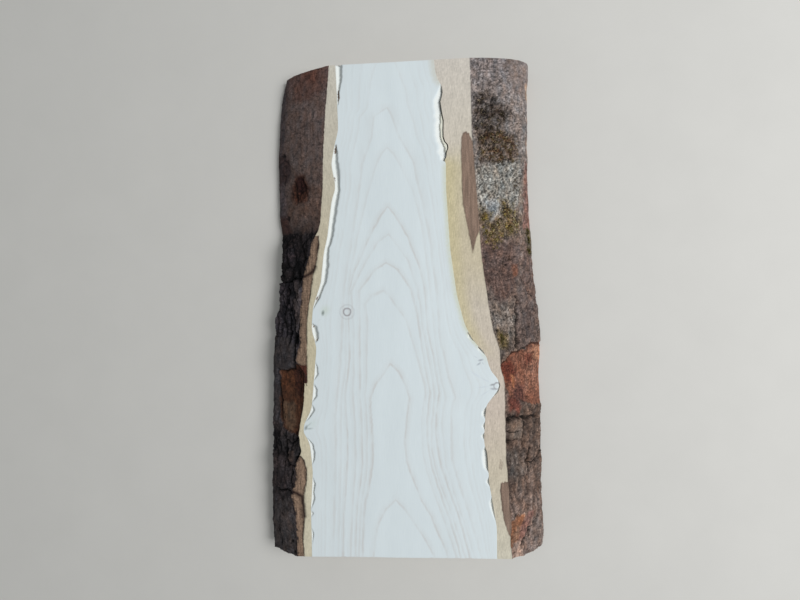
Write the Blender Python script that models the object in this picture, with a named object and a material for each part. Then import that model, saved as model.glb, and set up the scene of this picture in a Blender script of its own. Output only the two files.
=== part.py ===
"""A maple block sawn through and through from a log, with the bark left on both long edges.

The block lies flat: +Y runs along the grain, +X to the right and +Z up. It rests on z = 0, and the
origin is under the middle of its bounding box. Every length below is in millimetres. An outline is
a list of (place along the block, distance from the centre line).
"""
import math

import bmesh
import bpy
import numpy as np
from mathutils import Vector, noise

MM = 0.001

# The sawn slab
LENGTH = 450.0
THICKNESS = 30.0
GAP = 0.3                  # clearance between the wood and each strip of bark
SOFTEN = 3.0               # half the stretch over which an outline's corners are rounded

# How finely each cross-section is drawn
STATION = 6.0              # distance from one cross-section to the next
CRACK_STATION = 2.0        # the same, beside a crack
FLANK_POINTS = 11          # from the sawn corner to the widest point of the bark
JOINT_POINTS = 6           # down the joint between wood and bark
RIM_POINTS = 3             # across the sawn rim of the bark
FACE_POINTS = 4            # across each sawn face of the wood
ARRIS = 1.2                # the wood's broken edge along the joint

# The bark's thinnest places
THINNEST_RIM = 4.0         # width of the sawn rim at a knot
DEEPEST_SHARE = 0.4        # share of the bark that relief may take away
RIM_SLOPE = 0.25           # thickness of the bark under the rim, for each unit of the rim's width

LEFT = {
    "side": -1,
    "seed": 3.0,
    "colour": (0.085, 0.062, 0.052),
    "joint": [(224, 56), (190, 55), (165, 54.5), (151, 58.5), (134, 62), (113, 58), (102, 62),
              (85, 64.5), (67, 67), (54, 70.5), (25, 74), (5, 81.5), (-17, 83.5), (-33, 79),
              (-56, 81.5), (-90, 85), (-103, 92), (-110, 94), (-120, 87.5), (-147, 85),
              (-180, 87.5), (-224, 87.5)],
    "corner": [(225, 62), (182, 66.5), (148, 69), (111, 70.5), (79, 73.5), (71, 76), (66, 82),
               (56, 82.5), (36, 90), (0, 94), (-31, 95.5), (-49, 100.5), (-52, 90.5), (-86, 92.5),
               (-113, 98), (-132, 95.5), (-139, 102.5), (-155, 101.5), (-169, 107), (-187, 102.5),
               (-225, 101.5)],
    "widest": [(226, 109.5), (208, 115), (179, 117.5), (144, 120), (85, 119.5), (64, 115.5),
               (40, 116), (16, 118), (-8, 122.5), (-51, 126), (-99, 127.5), (-162, 129),
               (-200, 130), (-226, 129)],
    "belly": [(225, 2), (70, 2), (58, 12), (-225, 13)],       # height of the widest point
    "undercut": [(225, 0.3), (70, 0.3), (58, 3.5), (-225, 3.5)],
    "foot": 6.5,                                              # width of the bark at the floor
    "flank_lift": [(225, 0.52), (-150, 0.55), (-210, 0.95), (-225, 1.0)],
    "joint_lift": 0.5,
    "rough": [(225, 0.2), (72, 0.25), (60, 1.0), (-45, 1.0), (-52, 0.3), (-112, 0.3), (-122, 1.0),
              (-225, 0.9)],
    # from, to, width, depth
    "grooves": [(188, 262, 7.0, 3.5), (112, 152, 7.5, 3.5), (4, 116, 6.8, 3.5), (-28, -10, 6.0, 3.5),
                (-63, -49, 2.8, 2.0), (-83, -68, 3.6, 2.5), (-101, -86, 2.6, 2.0),
                (-139, -117, 3.6, 2.5), (-181, -154, 2.8, 2.0), (-215, -199, 1.8, 1.5)],
    # place at the rim, place at the floor, half-width, depth
    "cracks": [(36, 29, 2.0, 3.0), (-178, -168, 2.0, 2.5)],
    # place along, place down the flank from 0 to 1, half-length, half-height, depth
    "flakes": [(118, 0.55, 22, 0.22, 1.6), (-82, 0.45, 31, 0.38, 2.2)],
}

RIGHT = {
    "side": 1,
    "seed": 11.0,
    "colour": (0.155, 0.125, 0.105),
    "joint": [(225, 34), (211, 35.5), (201, 40), (166, 41), (143, 43), (107, 42.5), (53, 45),
              (12, 50), (-15, 56.5), (-30, 64), (-41, 74.5), (-56, 78), (-66, 86.5), (-70, 88),
              (-75, 86), (-85, 74.5), (-97, 73), (-122, 71), (-129, 74), (-157, 75), (-197, 81),
              (-224, 80.5)],
    "corner": [(225, 66.5), (155, 67), (97, 70.5), (47, 73), (2, 78.5), (-16, 81), (-38, 87.5),
               (-56, 88), (-63, 91), (-127, 91), (-154, 92), (-195, 94.5), (-208, 93),
               (-225, 94.5)],
    "widest": [(229, 121.5), (225, 123), (187, 121.5), (142, 121.5), (75, 122), (25, 125),
               (1, 127.5), (-47, 129.5), (-85, 128.5), (-108, 129.5), (-146, 128.5),
               (-175, 127.5), (-218, 129), (-230, 127)],
    "belly": [(225, 10), (200, 8), (150, 2.5), (100, 1.5), (-225, 1.5)],
    "undercut": [(225, 1.5), (150, 0.6), (100, 0.4), (-225, 0.4)],
    "foot": 9.5,
    "flank_lift": [(225, 0.12), (180, 0.2), (120, 0.38), (-150, 0.42), (-225, 0.62)],
    "joint_lift": 0.3,
    "rough": [(225, 0.5), (60, 0.45), (20, 0.6), (-30, 0.9), (-36, 0.25), (-86, 0.3), (-95, 1.0),
              (-185, 1.0), (-200, 0.4), (-225, 0.5)],
    "grooves": [(136, 206, 7.0, 2.5), (-31, -23, 3.0, 1.5), (-43, -35, 3.5, 1.8),
                (-100, -89, 3.0, 2.0), (-119, -103, 3.0, 1.8), (-146, -126, 3.2, 1.8),
                (-161, -152, 3.0, 1.8), (-191, -171, 3.0, 2.0)],
    "cracks": [(-98, -103, 1.8, 2.2)],
    "flakes": [(-61, 0.5, 26, 0.6, 1.5), (-206, 0.35, 13, 0.22, 1.6)],
}

# Relief of the bark
SWELL = (0.7, 45.0, 26.0)      # height, length along, length across
PLATES = (1.7, 24.0, 15.0)     # the same, for a plate between its fissures
FISSURE = 0.22                 # share of a plate taken by the slope down into a fissure

WOOD_COLOUR = (0.66, 0.64, 0.60)
WOOD_ROUGHNESS = 0.55
BARK_ROUGHNESS = 0.9


def at(outline, place):
    """Reads an outline at one place along the block, with its corners rounded."""
    places, values = zip(*sorted(outline))
    return float(np.interp(place + SOFTEN * np.linspace(-1, 1, 7), places, values).mean())


def groove(edge, place):
    """Width and depth of the groove that runs along the joint."""
    width = depth = 0.0
    for start, end, wide, deep in edge["grooves"]:
        if start < place < end:
            swell = min(1.0, 1.6 * math.sin(math.pi * (place - start) / (end - start)))
            width, depth = max(width, wide * swell), max(depth, deep * swell)
    return width, depth


def rim(edge, place):
    """Where the sawn rim of the bark starts and ends on the top face."""
    corner = at(edge["corner"], place)
    return min(at(edge["joint"], place), corner - THINNEST_RIM), corner


def curve(start, end, top, bottom, lift, turn):
    """A point of a log's round side, and the direction in which it faces, at a turn from 0 to 1."""
    phi = turn * math.pi / 2
    x = start + (end - start) * math.sin(phi)
    z = top - (top - bottom) * (lift * math.sin(phi) + (1 - lift) * (1 - math.cos(phi)))
    run = (end - start) * math.cos(phi)
    fall = (top - bottom) * (lift * math.cos(phi) + (1 - lift) * math.sin(phi))
    size = math.hypot(run, fall)
    return x, z, fall / size, run / size


def joint_point(edge, place, turn):
    """A point of the surface where bark meets wood, and the direction in which it faces."""
    start, _ = rim(edge, place)
    floor = at(edge["widest"], place) - at(edge["undercut"], place) - edge["foot"]
    return curve(start, floor, THICKNESS, 0.0, edge["joint_lift"], turn)


def relief(edge, place, turn):
    """Height of the bark's own relief above the plain round flank."""
    across = turn * (at(edge["widest"], place) - at(edge["corner"], place) + THICKNESS / 2)
    high, along, wide = SWELL
    height = high * noise.noise(Vector((place / along, across / wide, edge["seed"])))
    high, along, wide = PLATES
    spot = Vector((place / along, across / wide, edge["seed"]))
    near, second = noise.voronoi(spot)[0][:2]
    plate = min(1.0, (second - near) / FISSURE) - 0.75
    height += high * plate * at(edge["rough"], place)
    for rim_place, floor_place, half, depth in edge["cracks"]:
        middle = rim_place + (floor_place - rim_place) * turn
        height -= depth * math.exp(-((place - middle) / half) ** 2)
    for middle, down, half_long, half_high, depth in edge["flakes"]:
        reach = math.hypot((place - middle) / half_long, (turn - down) / half_high)
        height -= depth * min(1.0, max(0.0, (1.0 - reach) * 4.0))
    return height


def bark_section(edge, place):
    """One closed cross-section of a strip of bark, as (x, z) points."""
    start, corner = rim(edge, place)
    widest, belly, lift = (at(edge[name], place) for name in ("widest", "belly", "flank_lift"))
    points = [(start + (corner - start) * i / RIM_POINTS, THICKNESS) for i in range(RIM_POINTS)]
    for i in range(FLANK_POINTS):
        turn = i / (FLANK_POINTS - 1)
        x, z, face_x, face_z = curve(corner, widest, THICKNESS, belly, lift, turn)
        thickness = (corner - start) * RIM_SLOPE + edge["foot"] * turn
        height = max(relief(edge, place, turn), -DEEPEST_SHARE * thickness)
        x += face_x * height
        if i:
            z = min(z + face_z * height, THICKNESS - 0.5 * turn * THICKNESS / FLANK_POINTS)
        points.append((x, z))
    foot = points[-1][0] - at(edge["undercut"], place)
    points.append((foot, 0.0))
    for i in range(JOINT_POINTS, 0, -1):
        x, z, _, _ = joint_point(edge, place, i / JOINT_POINTS)
        points.append((x, z))
    return [(edge["side"] * x, z) for x, z in points]


def wood_side(edge, place):
    """The wood's side from the floor up to the sawn top, with the groove along the joint."""
    points = []
    for i in range(JOINT_POINTS, -1, -1):
        x, z, face_x, face_z = joint_point(edge, place, i / JOINT_POINTS)
        low = i == JOINT_POINTS
        points.append((x - GAP if low else x - GAP * face_x, 0.0 if low else z - GAP * face_z))
    width, depth = groove(edge, place)
    width = max(width, ARRIS)
    lip_x, lip_z = points.pop()
    points.append((lip_x, lip_z - 0.3 * depth))
    points.append((lip_x - 0.55 * width, min(lip_z, THICKNESS - depth)))
    points.append((lip_x - width, THICKNESS))
    return [(edge["side"] * x, z) for x, z in points]


def wood_section(place):
    """One closed cross-section of the sawn wood, as (x, z) points."""
    right, left = wood_side(RIGHT, place), wood_side(LEFT, place)
    top = np.linspace(right[-1][0], left[-1][0], FACE_POINTS + 2)[1:-1]
    bottom = np.linspace(left[0][0], right[0][0], FACE_POINTS + 2)[1:-1]
    return (right + [(float(x), THICKNESS) for x in top]
            + left[::-1] + [(float(x), 0.0) for x in bottom])


def stations():
    """Places of the cross-sections, closer together beside the cracks."""
    count = round(LENGTH / STATION)
    places = [LENGTH * (i / count - 0.5) for i in range(count + 1)]
    for edge in (LEFT, RIGHT):
        for rim_place, floor_place, _, _ in edge["cracks"]:
            low, high = sorted((rim_place, floor_place))
            places = [p for p in places if not low - CRACK_STATION < p < high + CRACK_STATION]
            steps = math.ceil((high - low) / CRACK_STATION) + 2
            places += list(np.linspace(low - CRACK_STATION, high + CRACK_STATION, steps + 1))
    return sorted(float(p) for p in places)


def principled(name, colour, roughness):
    """A plain material in the colour of the real surface."""
    material = bpy.data.materials.new(name)
    material.use_nodes = True
    shader = material.node_tree.nodes["Principled BSDF"]
    shader.inputs["Base Color"].default_value = (*colour, 1.0)
    shader.inputs["Roughness"].default_value = roughness
    shader.inputs["Metallic"].default_value = 0.0
    return material


def loft(name, sections, material, collection):
    """Makes one closed solid through cross-sections that all have the same number of points."""
    shape = bmesh.new()
    rows = [[shape.verts.new((x * MM, place * MM, z * MM)) for x, z in points]
            for place, points in sections]
    for row, following in zip(rows, rows[1:]):
        for i, corner in enumerate(row):
            after = (i + 1) % len(row)
            shape.faces.new((corner, row[after], following[after], following[i]))
    shape.faces.new(rows[0])
    shape.faces.new(rows[-1])
    bmesh.ops.triangulate(shape, faces=shape.faces[:], quad_method="SHORT_EDGE")
    bmesh.ops.recalc_face_normals(shape, faces=shape.faces[:])
    mesh = bpy.data.meshes.new(name)
    shape.to_mesh(mesh)
    shape.free()
    mesh.materials.append(material)
    mesh.shade_smooth()
    mesh.set_sharp_from_angle(angle=math.radians(35))
    piece = bpy.data.objects.new(name, mesh)
    collection.objects.link(piece)
    return piece


def main():
    """Builds the block: its wood and its two strips of bark."""
    for old in list(bpy.data.objects):
        bpy.data.objects.remove(old)
    block = bpy.data.collections.new("maple_wood_block")
    bpy.context.scene.collection.children.link(block)
    places = stations()
    pieces = [loft("wood_block", [(p, wood_section(p)) for p in places],
                   principled("wood", WOOD_COLOUR, WOOD_ROUGHNESS), block)]
    for name, edge in (("bark_left", LEFT), ("bark_right", RIGHT)):
        pieces.append(loft(name, [(p, bark_section(edge, p)) for p in places],
                           principled(name, edge["colour"], BARK_ROUGHNESS), block))
    reach = [point.co.x for piece in pieces for point in piece.data.vertices]
    for piece in pieces:
        piece.location.x = -(min(reach) + max(reach)) / 2


main()
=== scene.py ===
# %% [markdown]
# A slab of maple with its bark
#
# The block is a slab sawn through and through from a maple log. Its two sawn faces are flat and
# pale, and its two long edges still carry the tree's bark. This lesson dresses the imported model
# of the block.
#
# All the working sizes below are in millimetres. They become metres only when a mesh is made.

import math

import bmesh
import bpy
import numpy as np
from mathutils import Matrix, Vector, noise
from mathutils.bvhtree import BVHTree


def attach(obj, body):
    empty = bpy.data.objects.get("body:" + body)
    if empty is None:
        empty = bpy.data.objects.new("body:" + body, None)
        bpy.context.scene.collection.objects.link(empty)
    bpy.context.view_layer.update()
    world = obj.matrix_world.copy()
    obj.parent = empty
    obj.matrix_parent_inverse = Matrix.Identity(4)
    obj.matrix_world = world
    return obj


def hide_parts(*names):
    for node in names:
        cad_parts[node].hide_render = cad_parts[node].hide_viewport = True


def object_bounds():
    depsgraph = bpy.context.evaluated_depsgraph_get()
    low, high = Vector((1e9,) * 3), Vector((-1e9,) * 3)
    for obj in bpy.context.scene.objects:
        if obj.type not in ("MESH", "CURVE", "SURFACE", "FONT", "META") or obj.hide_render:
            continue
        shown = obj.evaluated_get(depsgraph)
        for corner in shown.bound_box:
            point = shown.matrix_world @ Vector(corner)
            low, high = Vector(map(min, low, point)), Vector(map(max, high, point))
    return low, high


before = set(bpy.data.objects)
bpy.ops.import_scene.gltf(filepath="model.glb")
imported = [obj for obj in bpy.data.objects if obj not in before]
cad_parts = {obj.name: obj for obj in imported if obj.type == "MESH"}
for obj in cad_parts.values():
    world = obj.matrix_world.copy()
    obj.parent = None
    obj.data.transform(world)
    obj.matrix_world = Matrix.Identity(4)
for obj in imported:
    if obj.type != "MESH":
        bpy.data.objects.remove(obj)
cad_box = [list(map(float, corner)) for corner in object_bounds()]
MM = 0.001
THICK = cad_box[1][2] / MM
HALF_LENGTH = cad_box[1][1] / MM
print("block in mm:", [round((high - low) / MM, 1) for low, high in zip(*cad_box)])

# %% [markdown]
# The camera
#
# The picture was taken from straight above with a wide lens held close, a little off level. So the
# bark's round flanks show beside the flat top. A camera could be aimed at a target, but a small
# lean is easier to match as two turns: one about the lens's own axis, and one sideways.

# %% Camera
EYE = (24.11, 8.17, 438.37)
ROLL = -1.28
LEAN = 3.517
LENS = 20.295

camera_data = bpy.data.cameras.new("camera")
camera_data.sensor_width = 36.0
camera_data.lens = LENS
camera = bpy.data.objects.new("camera", camera_data)
camera.location = Vector(EYE) * MM
turned = Matrix.Rotation(math.radians(ROLL), 3, "Z") @ Matrix.Rotation(math.radians(LEAN), 3, "Y")
camera.rotation_euler = turned.to_euler()
bpy.context.scene.collection.objects.link(camera)
bpy.context.scene.camera = camera
print("camera is", round(EYE[2] - THICK), "mm above the top face")

# %% [markdown]
# Small tools for noise
#
# Bark is never even. Noise with lumps of a known size roughens shapes and colours below. A texture
# could do that in the material, but noise that is worked out here can also push the surface itself.

# %% Helpers for noise
def soften(values, spread, axis=0):
    """Evens out an array along one axis, keeping its ends."""
    reach = int(3 * spread) + 1
    weight = np.exp(-0.5 * (np.arange(-reach, reach + 1) / spread) ** 2)
    weight /= weight.sum()
    padding = [(reach, reach) if a == axis else (0, 0) for a in range(values.ndim)]
    padded = np.pad(values, padding, mode="edge")
    return np.apply_along_axis(lambda line: np.convolve(line, weight, "valid"), axis, padded)


def clouds(points, size, seed=0.0, octaves=1):
    """Smooth noise from about -1 to 1, with lumps of a size in mm, which may differ by axis."""
    places = (points / np.array(size, dtype=float) + seed).tolist()
    if octaves == 1:
        return np.array([noise.noise(place) for place in places])
    return np.array([noise.fractal(place, 0.7, 2.0, octaves) for place in places])


def cells(points, size, seed=0.0):
    """Distance to the border of each point's own cell, and a number from 0 to 1 for the cell."""
    places = (points / np.array(size, dtype=float) + seed).tolist()
    found = [noise.voronoi(place) for place in places]
    border = np.array([distance[1] - distance[0] for distance, _ in found])
    own = np.array([math.sin(12.9898 * near[0][0] + 78.233 * near[0][1] + 37.719 * near[0][2])
                    for _, near in found])
    return border, (own * 43758.5453) % 1.0


print("noise at three places:", clouds(np.eye(3) * 10, 7.0).round(2))

# %% [markdown]
# Outlines with soft borders
#
# A patch of bark is easiest to state as a few corner points, seen from above. A filled curve could
# be projected onto the bark instead. The distance to the outline, measured for many points at once,
# is quicker, and a border that is known in millimetres can be frayed.

# %% Helpers for outlines
def step(low, high, values):
    """A smooth rise from 0 at low to 1 at high."""
    share = np.clip((values - low) / (high - low), 0.0, 1.0)
    return share * share * (3 - 2 * share)


def away(plan, path, closed=False):
    """Distance from each (x, y) point to a line through a few points."""
    path = np.array(path, dtype=float)
    ends = np.roll(path, -1, axis=0) if closed else path[1:]
    best = np.full(len(plan), 1e9)
    for start, end in zip(path, ends):
        run = end - start
        share = np.clip(((plan - start) @ run) / max(run @ run, 1e-9), 0.0, 1.0)
        best = np.minimum(best, np.hypot(*(plan - start - share[:, None] * run).T))
    return best


def patch(plan, outline, soft=1.5):
    """1 inside an outline and 0 outside it, with a border that is so many mm wide."""
    x, y = plan.T
    inside = np.zeros(len(plan), dtype=bool)
    for (ax, ay), (bx, by) in zip(outline, outline[1:] + outline[:1]):
        if ay != by:
            crosses = (ay > y) != (by > y)
            inside ^= crosses & (x < (bx - ax) * (y - ay) / (by - ay) + ax)
    distance = np.where(inside, 1.0, -1.0) * away(plan, outline, closed=True)
    return step(-soft / 2, soft / 2, distance)


square = [(0, 0), (10, 0), (10, 10), (0, 10)]
print("1 mm inside, on, and 1 mm outside a soft border:",
      patch(np.array([(9, 5), (10, 5), (11, 5)]), square, 3.0).round(2))

# %% [markdown]
# Colours
#
# Colours are chosen as they look on a screen, from 0 to 255. Blender's shaders reckon with light
# itself, so each colour is turned into that. The colour picker does the same out of sight.

# %% Helper for colours
def linear(red, green, blue):
    """A colour given as it looks on a screen, from 0 to 255, as the light that it stands for."""
    values = np.array([red, green, blue], dtype=float) / 255.0
    return np.where(values <= 0.04045, values / 12.92, ((values + 0.055) / 1.055) ** 2.4)


print("mid grey sends back", round(float(linear(128, 128, 128)[0]), 2), "of the light")

# %% [markdown]
# The edges' own lines
#
# Each strip of bark has a few lines that run the whole length of the block: the joint with the
# wood on the top face, the sawn corner, and the inner and outer foot. They are read from the
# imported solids, so that the fine pieces lie exactly where the solids do. Typing them in again
# would be one more place to go wrong.

# %% Read the long lines of both edges
TOUCH = 0.01              # a point this near to a level lies on it
EVENED = 1.2              # the lines are evened out over about so many mm


def even(spacing):
    """Places along the block, about so many mm apart."""
    return np.linspace(-HALF_LENGTH, HALF_LENGTH, round(2 * HALF_LENGTH / spacing) + 1)


# where the right joint strays beside its long gouge: (place, distance from the middle)
STRAY = [(206, 41.3), (201, 41.1), (195, 41.7), (191, 40.8), (187, 39.5), (182, 40.2), (176, 41.0),
         (170, 42.1), (161, 41.7), (155, 41.7), (151, 42.9), (148, 45.3), (145, 45.8), (141, 44.3),
         (137, 43.8), (133, 41.8), (130, 42.6)]
STRAYS_FROM, STRAYS_TO = (129, 135), (198, 206)        # it fades in and out between these places


def long_lines(node, side, places):
    """The joint, the corner and both feet of a strip of bark, at places along the block."""
    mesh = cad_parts[node].data
    corners = np.empty(len(mesh.vertices) * 3)
    mesh.vertices.foreach_get("co", corners)
    corners = corners.reshape(-1, 3) / MM
    corners[:, 0] *= side
    lines = {}
    for name, level, pick in (("joint", THICK, min), ("corner", THICK, max),
                              ("inner_foot", 0.0, min), ("outer_foot", 0.0, max)):
        rows = {}
        for x, y, _ in corners[abs(corners[:, 2] - level) < TOUCH]:
            rows.setdefault(round(y, 1), []).append(x)
        known = sorted(rows)
        line = np.interp(places, known, [pick(rows[place]) for place in known])
        lines[name] = soften(line, EVENED / (places[1] - places[0]))
    if side > 0:
        beside = step(*STRAYS_FROM, places) * (1 - step(*STRAYS_TO, places))
        strayed = np.interp(places, *zip(*STRAY[::-1]))
        lines["joint"] += (strayed - lines["joint"]) * beside
    return lines


for name, side in (("left", -1), ("right", 1)):
    found = long_lines("bark_" + name, side, even(50))
    print(name, {line: [round(float(v)) for v in values] for line, values in found.items()})

# %% [markdown]
# Round sides from the solids
#
# The bark's flank and the joint under it are round. Rays from a line deep in the wood find
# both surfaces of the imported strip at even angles. Evened out a little, the distances along the
# rays make a smooth sheet, and any fine relief is then just a longer or a shorter ray. A
# shrinkwrap modifier could find the surface too, but it gives no such rays to work along.

# %% Measure the round sides
CORE_IN = 11.0            # the rays start this far in from the joint
CORE_DOWN = -20.0         # and at this height, below the floor
CORE_EVENED = 20
FAR = 400.0               # outside everything
JUST_INSIDE = 0.05        # rays at the ends are cast this far from the cut


def side_sheet(node, side, lines, places, steps, outer):
    """Distances along rays to a strip's outer or inner surface, their angles and their start."""
    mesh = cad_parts[node].data
    tree = BVHTree.FromPolygons([tuple(v.co / MM) for v in mesh.vertices],
                                [tuple(p.vertices) for p in mesh.polygons])
    core = soften(lines["joint"], CORE_EVENED / (places[1] - places[0])) - CORE_IN
    top = lines["corner" if outer else "joint"]
    foot = lines["outer_foot" if outer else "inner_foot"]
    first = np.arctan2(THICK - CORE_DOWN, top - core)
    last = np.arctan2(-CORE_DOWN, foot - core)
    angles = first[:, None] + (last - first)[:, None] * np.linspace(0, 1, steps)[None, :]
    reach = np.empty_like(angles)
    reach[:, 0] = np.hypot(top - core, THICK - CORE_DOWN)
    reach[:, -1] = np.hypot(foot - core, CORE_DOWN)
    for row, place in enumerate(places.clip(JUST_INSIDE - HALF_LENGTH, HALF_LENGTH - JUST_INSIDE)):
        for column in range(1, steps - 1):
            way = Vector((side * math.cos(angles[row, column]), 0, math.sin(angles[row, column])))
            start = Vector((side * core[row], place, CORE_DOWN))
            found = tree.ray_cast(start + way * FAR, -way) if outer else tree.ray_cast(start, way)
            hit = found[0]
            reach[row, column] = (hit - start).length if hit else reach[row, column - 1]
    return reach, angles, core


def on_rays(reach, angles, core):
    """Distance from the middle line and height of the points at those distances."""
    return core[:, None] + reach * np.cos(angles), CORE_DOWN + reach * np.sin(angles)


few = even(150)
few_reaches = side_sheet("bark_left", -1, long_lines("bark_left", -1, few), few, 4, outer=True)[0]
print("distances to the left flank, from top to foot:", few_reaches[1].round(1))

# %% [markdown]
# From rows of points to one closed mesh
#
# Both the wood and the bark are lofts: a ring of points at each place along the block, with rings
# joined by four-sided faces. Each sawn end is filled by rows of new points between the ring's two
# sides. One big face there would be simpler, but it could not carry rings or layers of colour.

# %% Loft and finish a mesh
SHARP = 60                # faces that meet at a larger angle keep a hard edge between them


def shares_along(line):
    """How far along a chain of points each of them lies, from 0 to 1."""
    runs = np.linalg.norm(np.diff(line, axis=0), axis=1)
    return np.concatenate([[0], np.cumsum(runs) / runs.sum()])


def zipper(first, second, points):
    """Triangles between two chains of point numbers, in step along both."""
    a, b = shares_along(points[first]), shares_along(points[second])
    i = j = 0
    faces = []
    while i < len(first) - 1 or j < len(second) - 1:
        forward = j == len(second) - 1 or (i < len(first) - 1 and a[i + 1] <= b[j + 1])
        new = first[i + 1] if forward else second[j + 1]
        if len({first[i], second[j], new}) == 3:
            faces.append((int(first[i]), int(second[j]), int(new)))
        i, j = (i + 1, j) if forward else (i, j + 1)
    return faces


def fill_end(points, first, second, rows, count):
    """Fills the flat end between two chains that share their ends. Returns points and faces."""
    t = np.linspace(0, 1, count + 2)[1:-1]
    lines = []
    for chain in (points[first], points[second]):
        along = shares_along(chain)
        lines.append(np.stack([np.interp(t, along, chain[:, axis]) for axis in range(3)], -1))
    chains = [first]
    for row in range(1, rows + 1):
        share = row / (rows + 1)
        start = len(points)
        points = np.concatenate([points, lines[0] * (1 - share) + lines[1] * share])
        chains.append([first[0], *range(start, start + count), first[-1]])
    chains.append(second)
    faces = [face for a, b in zip(chains, chains[1:]) for face in zipper(a, b, points)]
    return points, faces


def ring_faces(rows, columns):
    """Four-sided faces between closed rings that follow each other."""
    row, column = np.meshgrid(np.arange(rows - 1), np.arange(columns), indexing="ij")
    after = (column + 1) % columns
    quads = np.stack([row * columns + column, row * columns + after,
                      (row + 1) * columns + after, (row + 1) * columns + column], -1)
    return quads.reshape(-1, 4).tolist()


def make_piece(name, points, faces, paint, material):
    """Makes a mesh that rides on the block, with its painted values and its material."""
    mesh = bpy.data.meshes.new(name)
    mesh.from_pydata((points * MM).tolist(), [], faces)
    for label, values in paint.items():
        if values.ndim == 2:
            layer = mesh.attributes.new(label, "FLOAT_COLOR", "POINT")
            layer.data.foreach_set("color", np.c_[values, np.ones(len(values))].ravel())
        else:
            layer = mesh.attributes.new(label, "FLOAT", "POINT")
            layer.data.foreach_set("value", values)
    shape = bmesh.new()
    shape.from_mesh(mesh)
    bmesh.ops.recalc_face_normals(shape, faces=shape.faces[:])
    triangles = sum(len(face.verts) - 2 for face in shape.faces)
    shape.to_mesh(mesh)
    shape.free()
    mesh.materials.append(material)
    mesh.shade_smooth()
    mesh.set_sharp_from_angle(angle=math.radians(SHARP))
    piece = bpy.data.objects.new(name, mesh)
    bpy.context.scene.collection.objects.link(piece)
    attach(piece, "root")
    print(name, "has", triangles, "triangles")
    return piece


print("two rings of four points are joined by", len(ring_faces(2, 4)), "faces")

# %% [markdown]
# Materials from small parts
#
# Every finish below is a graph of shader nodes. A short helper makes a node, sets its plain
# values and links the rest, so that each material reads as a list of steps. The same graphs can be
# drawn by hand in the shader editor. Written down, they can share their parts.

# %% Helpers for materials
def new_material(name, roughness, specular):
    """A material with its shader, whose plain values are set on the shader itself."""
    material = bpy.data.materials.new(name)
    material.use_nodes = True
    shader = material.node_tree.nodes["Principled BSDF"]
    shader.inputs["Roughness"].default_value = roughness
    shader.inputs["Specular IOR Level"].default_value = specular
    return material, material.node_tree, shader


def plug(tree, made, key, value):
    """Gives an input a value, or links it to another node's output."""
    if isinstance(value, bpy.types.NodeSocket):
        tree.links.new(value, made.inputs[key])
    else:
        made.inputs[key].default_value = value


def add(tree, kind, inputs, **settings):
    """Adds a node with its settings and its inputs."""
    made = tree.nodes.new("ShaderNode" + kind)
    for key, value in settings.items():
        setattr(made, key, value)
    for key, value in inputs.items():
        plug(tree, made, key, value)
    return made


def maths(tree, operation, *values):
    """One sum on one or two numbers."""
    return add(tree, "Math", dict(enumerate(values)), operation=operation).outputs[0]


def painted(tree, label, output="Fac"):
    """A value that was painted on the mesh."""
    return add(tree, "Attribute", {}, attribute_name=label).outputs[output]


def grain(tree, place, size, detail=2.0, seed=(0.0, 0.0, 0.0)):
    """Noise with lumps of a size in mm along x, y and z."""
    spread = add(tree, "Mapping", {"Vector": place, "Location": seed,
                                   "Scale": [1.0 / (s * MM) for s in size]})
    return add(tree, "TexNoise", {"Vector": spread.outputs[0], "Scale": 1.0,
                                  "Detail": detail, "Roughness": 0.6}).outputs["Fac"]


def spread_to(tree, value, low, high, to_low, to_high):
    """Maps a range of values to another, and keeps to its ends."""
    return add(tree, "MapRange", {"Value": value, "From Min": low, "From Max": high,
                                  "To Min": to_low, "To Max": to_high}).outputs[0]


def dimmed(tree, colour, factor):
    """A colour times a number."""
    return add(tree, "VectorMath", {0: colour, "Scale": factor}, operation="SCALE").outputs[0]


def blended(tree, factor, first, second):
    """Between two colours, by a factor from 0 to 1."""
    made = add(tree, "Mix", {0: factor}, data_type="RGBA")
    plug(tree, made, 6, first)
    plug(tree, made, 7, second)
    return made.outputs[2]


def raised(tree, shader, height, distance, strength):
    """Fine bumps, by a height from 0 to 1 that stands for a distance in mm."""
    bump = add(tree, "Bump", {"Strength": strength, "Distance": distance * MM, "Height": height})
    tree.links.new(bump.outputs[0], shader.inputs["Normal"])


print("noise with lumps of 10 mm takes a scale of", round(1 / (10 * MM)))

# %% [markdown]
# Growth rings
#
# The top face cuts the growth rings almost flat, so they show as nested arches that point to the
# narrow end. Each arch is stated by its two legs, seen from above. Every point of the wood then
# gets a ring number: it is read between the legs on the top face, and deeper in the wood it
# follows circles round the tree's middle. The same number draws arches on the faces and arcs on
# the ends, so the grain runs through the block as it does in real wood. Arches drawn on the faces
# alone would stop at the edge.

# %% Growth ring numbers
PITH_DOWN = 180.0       # the tree's middle lies this far below the floor
RING_WIDTH = 1.9
FIRST_ARCH = 6          # rings between the bark and the outermost arch
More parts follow.
